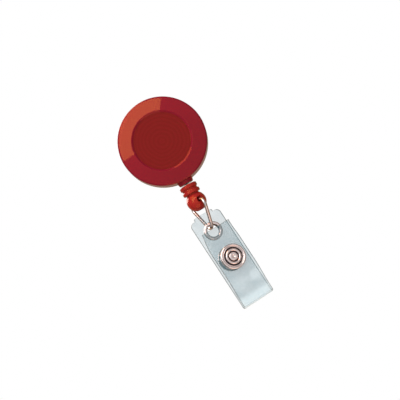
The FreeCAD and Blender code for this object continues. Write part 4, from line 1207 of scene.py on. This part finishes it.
wire_nickel = metal("wire_nickel", (0.68, 0.61, 0.60), (0.58, 0.51, 0.50), 0.16, smudge=(300, 0.12),
                    scratch=(2500, 0.10), uneven=(250, 0.1), bump=0.03)
snap_nickel = metal("snap_nickel", (0.88, 0.74, 0.70), (0.74, 0.61, 0.57), 0.12, smudge=(300, 0.15),
                    scratch=(1800, 0.15), uneven=(250, 0.3), bump=0.08)
clip_steel = metal("clip_spring_steel", (0.58, 0.57, 0.55), (0.50, 0.49, 0.47), 0.24, smudge=(160, 0.15),
                   scratch=(1200, 0.35), uneven=(300, 0.6), bump=0.25)
rivet_nickel = metal("rivet_nickel", (0.72, 0.69, 0.65), (0.50, 0.48, 0.45), 0.2, smudge=(500, 0.3),
                     scratch=(1500, 0.3), uneven=(500, 0.4), bump=0.2)
blued_steel = metal("blued_spring_steel", (0.10, 0.13, 0.22), (0.16, 0.13, 0.14), 0.25, smudge=(300, 0.4),
                    scratch=(900, 0.25), uneven=(400, 0.5), bump=0.2)
# Painted shade: a near-black nickel that stands for shade in the snap's deep grooves and for the link's
# shadow inside the eyelet.
shade_metal = metal("painted_shade_nickel", (0.06, 0.05, 0.055), (0.03, 0.026, 0.03), 0.4, smudge=(400, 0.2),
                  scratch=(1800, 0.1), uneven=(500, 0.5), bump=0.2)
print("metals: wire, snap, clip, rivet, blued spring and painted_shade")

# %% [markdown]
# The cord is braided nylon: two sets of strands wind opposite ways round it, a bundle every half
# millimetre. A wave along each diagonal gives the strands, and the higher of the two is on top.

# %% Braided cord
STRAND_LEAN, STRAND_RELIEF = 0.9, 0.08 * MM


def braid(name, first, second):
    """A cord material with two sets of strands, its colour between first and second."""
    material, tree, fibre, _ = surface(name, 0.5, smudge=(300, 0.15), Sheen_Weight=0.4)
    place = node(tree, "TexCoord")
    strands = []
    for lean in (STRAND_LEAN, -STRAND_LEAN):
        turned = node(tree, "Mapping", Rotation=(0, lean, 0))
        wave = node(tree, "TexWave", Scale=500.0, Distortion=0.4, bands_direction="X")
        link_up(tree, (place.outputs["Object"], turned.inputs["Vector"]),
                (turned.outputs[0], wave.inputs["Vector"]))
        strands.append(wave.outputs["Fac"])
    top = node(tree, "Math", operation="MAXIMUM")
    relief = node(tree, "Bump", Strength=0.7, Distance=STRAND_RELIEF)
    link_up(tree, (strands[0], top.inputs[0]), (strands[1], top.inputs[1]),
            (top.outputs[0], relief.inputs["Height"]), (relief.outputs["Normal"], fibre.inputs["Normal"]))
    # Painted shade: the colour follows the strands' height, so the low gaps between strands take the darker
    # tone.
    two_tone(tree, fibre.inputs["Base Color"], top.outputs[0], first, second)
    return material


grey_cord = braid("grey_nylon_braid", (0.50, 0.51, 0.46), (0.78, 0.79, 0.74))
print("braid:", grey_cord.name)

# %% [markdown]
# Clear vinyl shows mostly at its edges, where it is seen along its thickness, and in its gloss.
# It lets light straight through, so it is a thin film of cool grey with a low alpha that rises
# where the surface turns away. Slow waves in the sheet bend its reflections. It is paler in
# clouds and towards the fold, and one spot on the front leaf is a painted highlight: a soft pale
# patch that stands in for a reflection of the light.

# %% Clear vinyl
EDGE_BLEND, FACE_ON, EDGE_ON, SMUDGE_COVER = 0.25, 0.16, 0.95, 0.5
WHITENED_FROM, WHITENED_FULL = 4.0 * MM, 1.8 * MM
# A painted highlight on the front leaf: where it sits, and the radii where it starts and where it is full.
HIGHLIGHT_AT, HIGHLIGHT_OUT, HIGHLIGHT_FULL = Vector((3.6, -21.0, 2.6)), 3.0 * MM, 1.6 * MM
CLEAR_TONE, CLOUD_AND_HIGHLIGHT_TONE = (0.16, 0.35, 0.42), (0.66, 0.88, 0.95)
vinyl, tree, film, smudged = surface("clear_vinyl", 0.07, smudge=(90, 0.1), scratch=(500, 0.12),
                                     uneven=(70, 0.08), bump=0.5, depth=0.3 * MM, IOR=1.5)
facing = node(tree, "LayerWeight", Blend=EDGE_BLEND)
cover = node(tree, "MapRange", To_Min=FACE_ON, To_Max=EDGE_ON)
cloudy = node(tree, "Math", operation="MULTIPLY_ADD", use_clamp=True)
cloudy.inputs[1].default_value = SMUDGE_COVER
link_up(tree, (facing.outputs["Facing"], cover.inputs["Value"]), (smudged, cloudy.inputs[0]),
        (cover.outputs["Result"], cloudy.inputs[2]), (cloudy.outputs[0], film.inputs["Alpha"]))
place = node(tree, "TexCoord")
broad = node(tree, "TexNoise", Scale=75.0, Detail=1.0)
clouds = node(tree, "MapRange", From_Min=0.45, From_Max=0.75)
height = node(tree, "VectorMath", operation="DOT_PRODUCT")
height.inputs[1].default_value = strap_up
# Paler towards the fold: the tone lightens over the last few millimetres above it.
fold_height = (STRAP @ Vector((0, FOLD_LOW, 0))).dot(strap_up)
pale = node(tree, "MapRange", From_Min=fold_height + WHITENED_FROM, From_Max=fold_height + WHITENED_FULL)
# Painted highlight: the pale tone grows towards one spot on the front leaf.
highlight_distance = node(tree, "VectorMath", operation="DISTANCE")
highlight_distance.inputs[1].default_value = STRAP @ HIGHLIGHT_AT
patch = node(tree, "MapRange", From_Min=HIGHLIGHT_OUT, From_Max=HIGHLIGHT_FULL)
fold_and_highlight = node(tree, "Math", operation="MAXIMUM")
clouds_and_highlight = node(tree, "Math", operation="MAXIMUM")
link_up(tree, (place.outputs["Object"], broad.inputs["Vector"]),
        (broad.outputs["Fac"], clouds.inputs["Value"]),
        (place.outputs["Object"], height.inputs[0]), (height.outputs["Value"], pale.inputs["Value"]),
        (place.outputs["Object"], highlight_distance.inputs[0]), (highlight_distance.outputs["Value"], patch.inputs["Value"]),
        (pale.outputs["Result"], fold_and_highlight.inputs[0]), (patch.outputs["Result"], fold_and_highlight.inputs[1]),
        (fold_and_highlight.outputs[0], clouds_and_highlight.inputs[0]), (clouds.outputs["Result"], clouds_and_highlight.inputs[1]))
# The pale tone covers the clouds, the band at the fold and the painted highlight.
two_tone(tree, film.inputs["Base Color"], clouds_and_highlight.outputs[0], CLEAR_TONE, CLOUD_AND_HIGHLIGHT_TONE)
print("vinyl: alpha from", FACE_ON, "face on to", EDGE_ON, "edge on")

# %% [markdown]
# A cut edge of clear sheet is where the light that runs inside it comes out or gets lost, so it
# reads as a darker, greener line. It is a film of its own, nearly opaque.

# %% Cut edge of the vinyl
cut_edge, tree, film, smudged = surface("vinyl_cut_edge", 0.2, Alpha=0.8, IOR=1.5)
two_tone(tree, film.inputs["Base Color"], smudged, (0.20, 0.25, 0.26), (0.32, 0.38, 0.40))
print("cut edge: alpha", film.inputs["Alpha"].default_value)

# %% [markdown]
# The floor is plain pale card. Every piece gets its finish from a table of piece names. The
# mainspring is the one piece of the mechanism that stays in view: its strip is right as it is, and
# only needs its finish.

# %% Finishes on pieces
floor.data.materials.append(surface("pale_card", 0.8, Base_Color=(0.82, 0.82, 0.81, 1))[0])

FINISHES = {
    "front_shell": case_red, "rear_shell": case_red, "bead_body": bead_red, "spool_body": spool_red,
    "wound_cord": grey_cord, "anchor_knot": grey_cord, "end_knot": grey_cord, "pull_cord_run": grey_cord,
    "link_body": wire_nickel, "strap_strip": vinyl, "eyelet_body": snap_nickel, "back_washer": snap_nickel,
    "rear_cap": snap_nickel, "socket_body": snap_nickel, "stud_body": snap_nickel, "ring_body": snap_nickel,
    "clip_strip": clip_steel, "rivet_body": rivet_nickel, "mainspring": blued_steel,
}
for name, finish in FINISHES.items():
    mesh = bpy.data.objects[name].data
    mesh.materials.clear()
    mesh.materials.append(finish)
    for face in mesh.polygons:
        face.material_index = 0
print(len(FINISHES), "pieces finished")

# %% [markdown]
# A few pieces have a second finish where they look different: the label face of the case, and a
# near-black nickel that paints shade into the deep grooves of the snap and a shadow inside the
# eyelet. Each is a ring of faces, so it is chosen by how far a face's middle lies from the piece's
# axis and how high it is.

# %% Second finishes
SECOND_FINISHES = (
    ("front_shell", CASE, label_red, (0, 10.3), (12.0, 20.0)),
    # Painted shade in the ring's two deep grooves.
    ("ring_body", AT_SNAP, shade_metal, (1.5, 3.5), (3.1, 3.45)),
    # Painted shadow: the inside of the eyelet takes the near-black nickel, where the link's shadow falls.
    ("eyelet_body", STRAP, shade_metal, (0, 2.4), (-5.0, 0.7)),
)
for name, place, second, (inside, outside), (low, high) in SECOND_FINISHES:
    mesh = bpy.data.objects[name].data
    mesh.materials.append(second)
    to_own = place.inverted()
    for face in mesh.polygons:
        spot = to_own @ face.center
        if inside <= spot.xy.length < outside and low < spot.z < high:
            face.material_index = 1
    print(name, "has", sum(face.material_index for face in mesh.polygons), "faces of", second.name)

# %% [markdown]
# On the strap the second finish is the cut edge. A face belongs to it when it looks sideways, or
# along the strap at an end. The fold also looks along the strap, so only faces above it count.

# %% Cut faces of the strap
SIDE_LOOK, END_LOOK, ABOVE_FOLD = 0.35, 0.6, FOLD_LOW + 1.5
strap_mesh = strap_strip.data
strap_mesh.materials.append(cut_edge)
to_strap = STRAP.inverted()
for face in strap_mesh.polygons:
    at_side = abs(face.normal.dot(strap_across)) > SIDE_LOOK
    at_end = abs(face.normal.dot(strap_up)) > END_LOOK and (to_strap @ face.center).y > ABOVE_FOLD
    face.material_index = 1 if at_side or at_end else 0
print("strap:", sum(face.material_index for face in strap_mesh.polygons), "cut faces")

# %% [markdown]
# Last, the box of the finished object is printed in millimetres, as the mechanism's size was at
# the start. The finished surfaces should stay inside the mechanism's box, or pass it only slightly.

# %% Sizes and finish
low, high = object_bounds()
print("visual box", [round(v / MM, 2) for v in low], [round(v / MM, 2) for v in high])
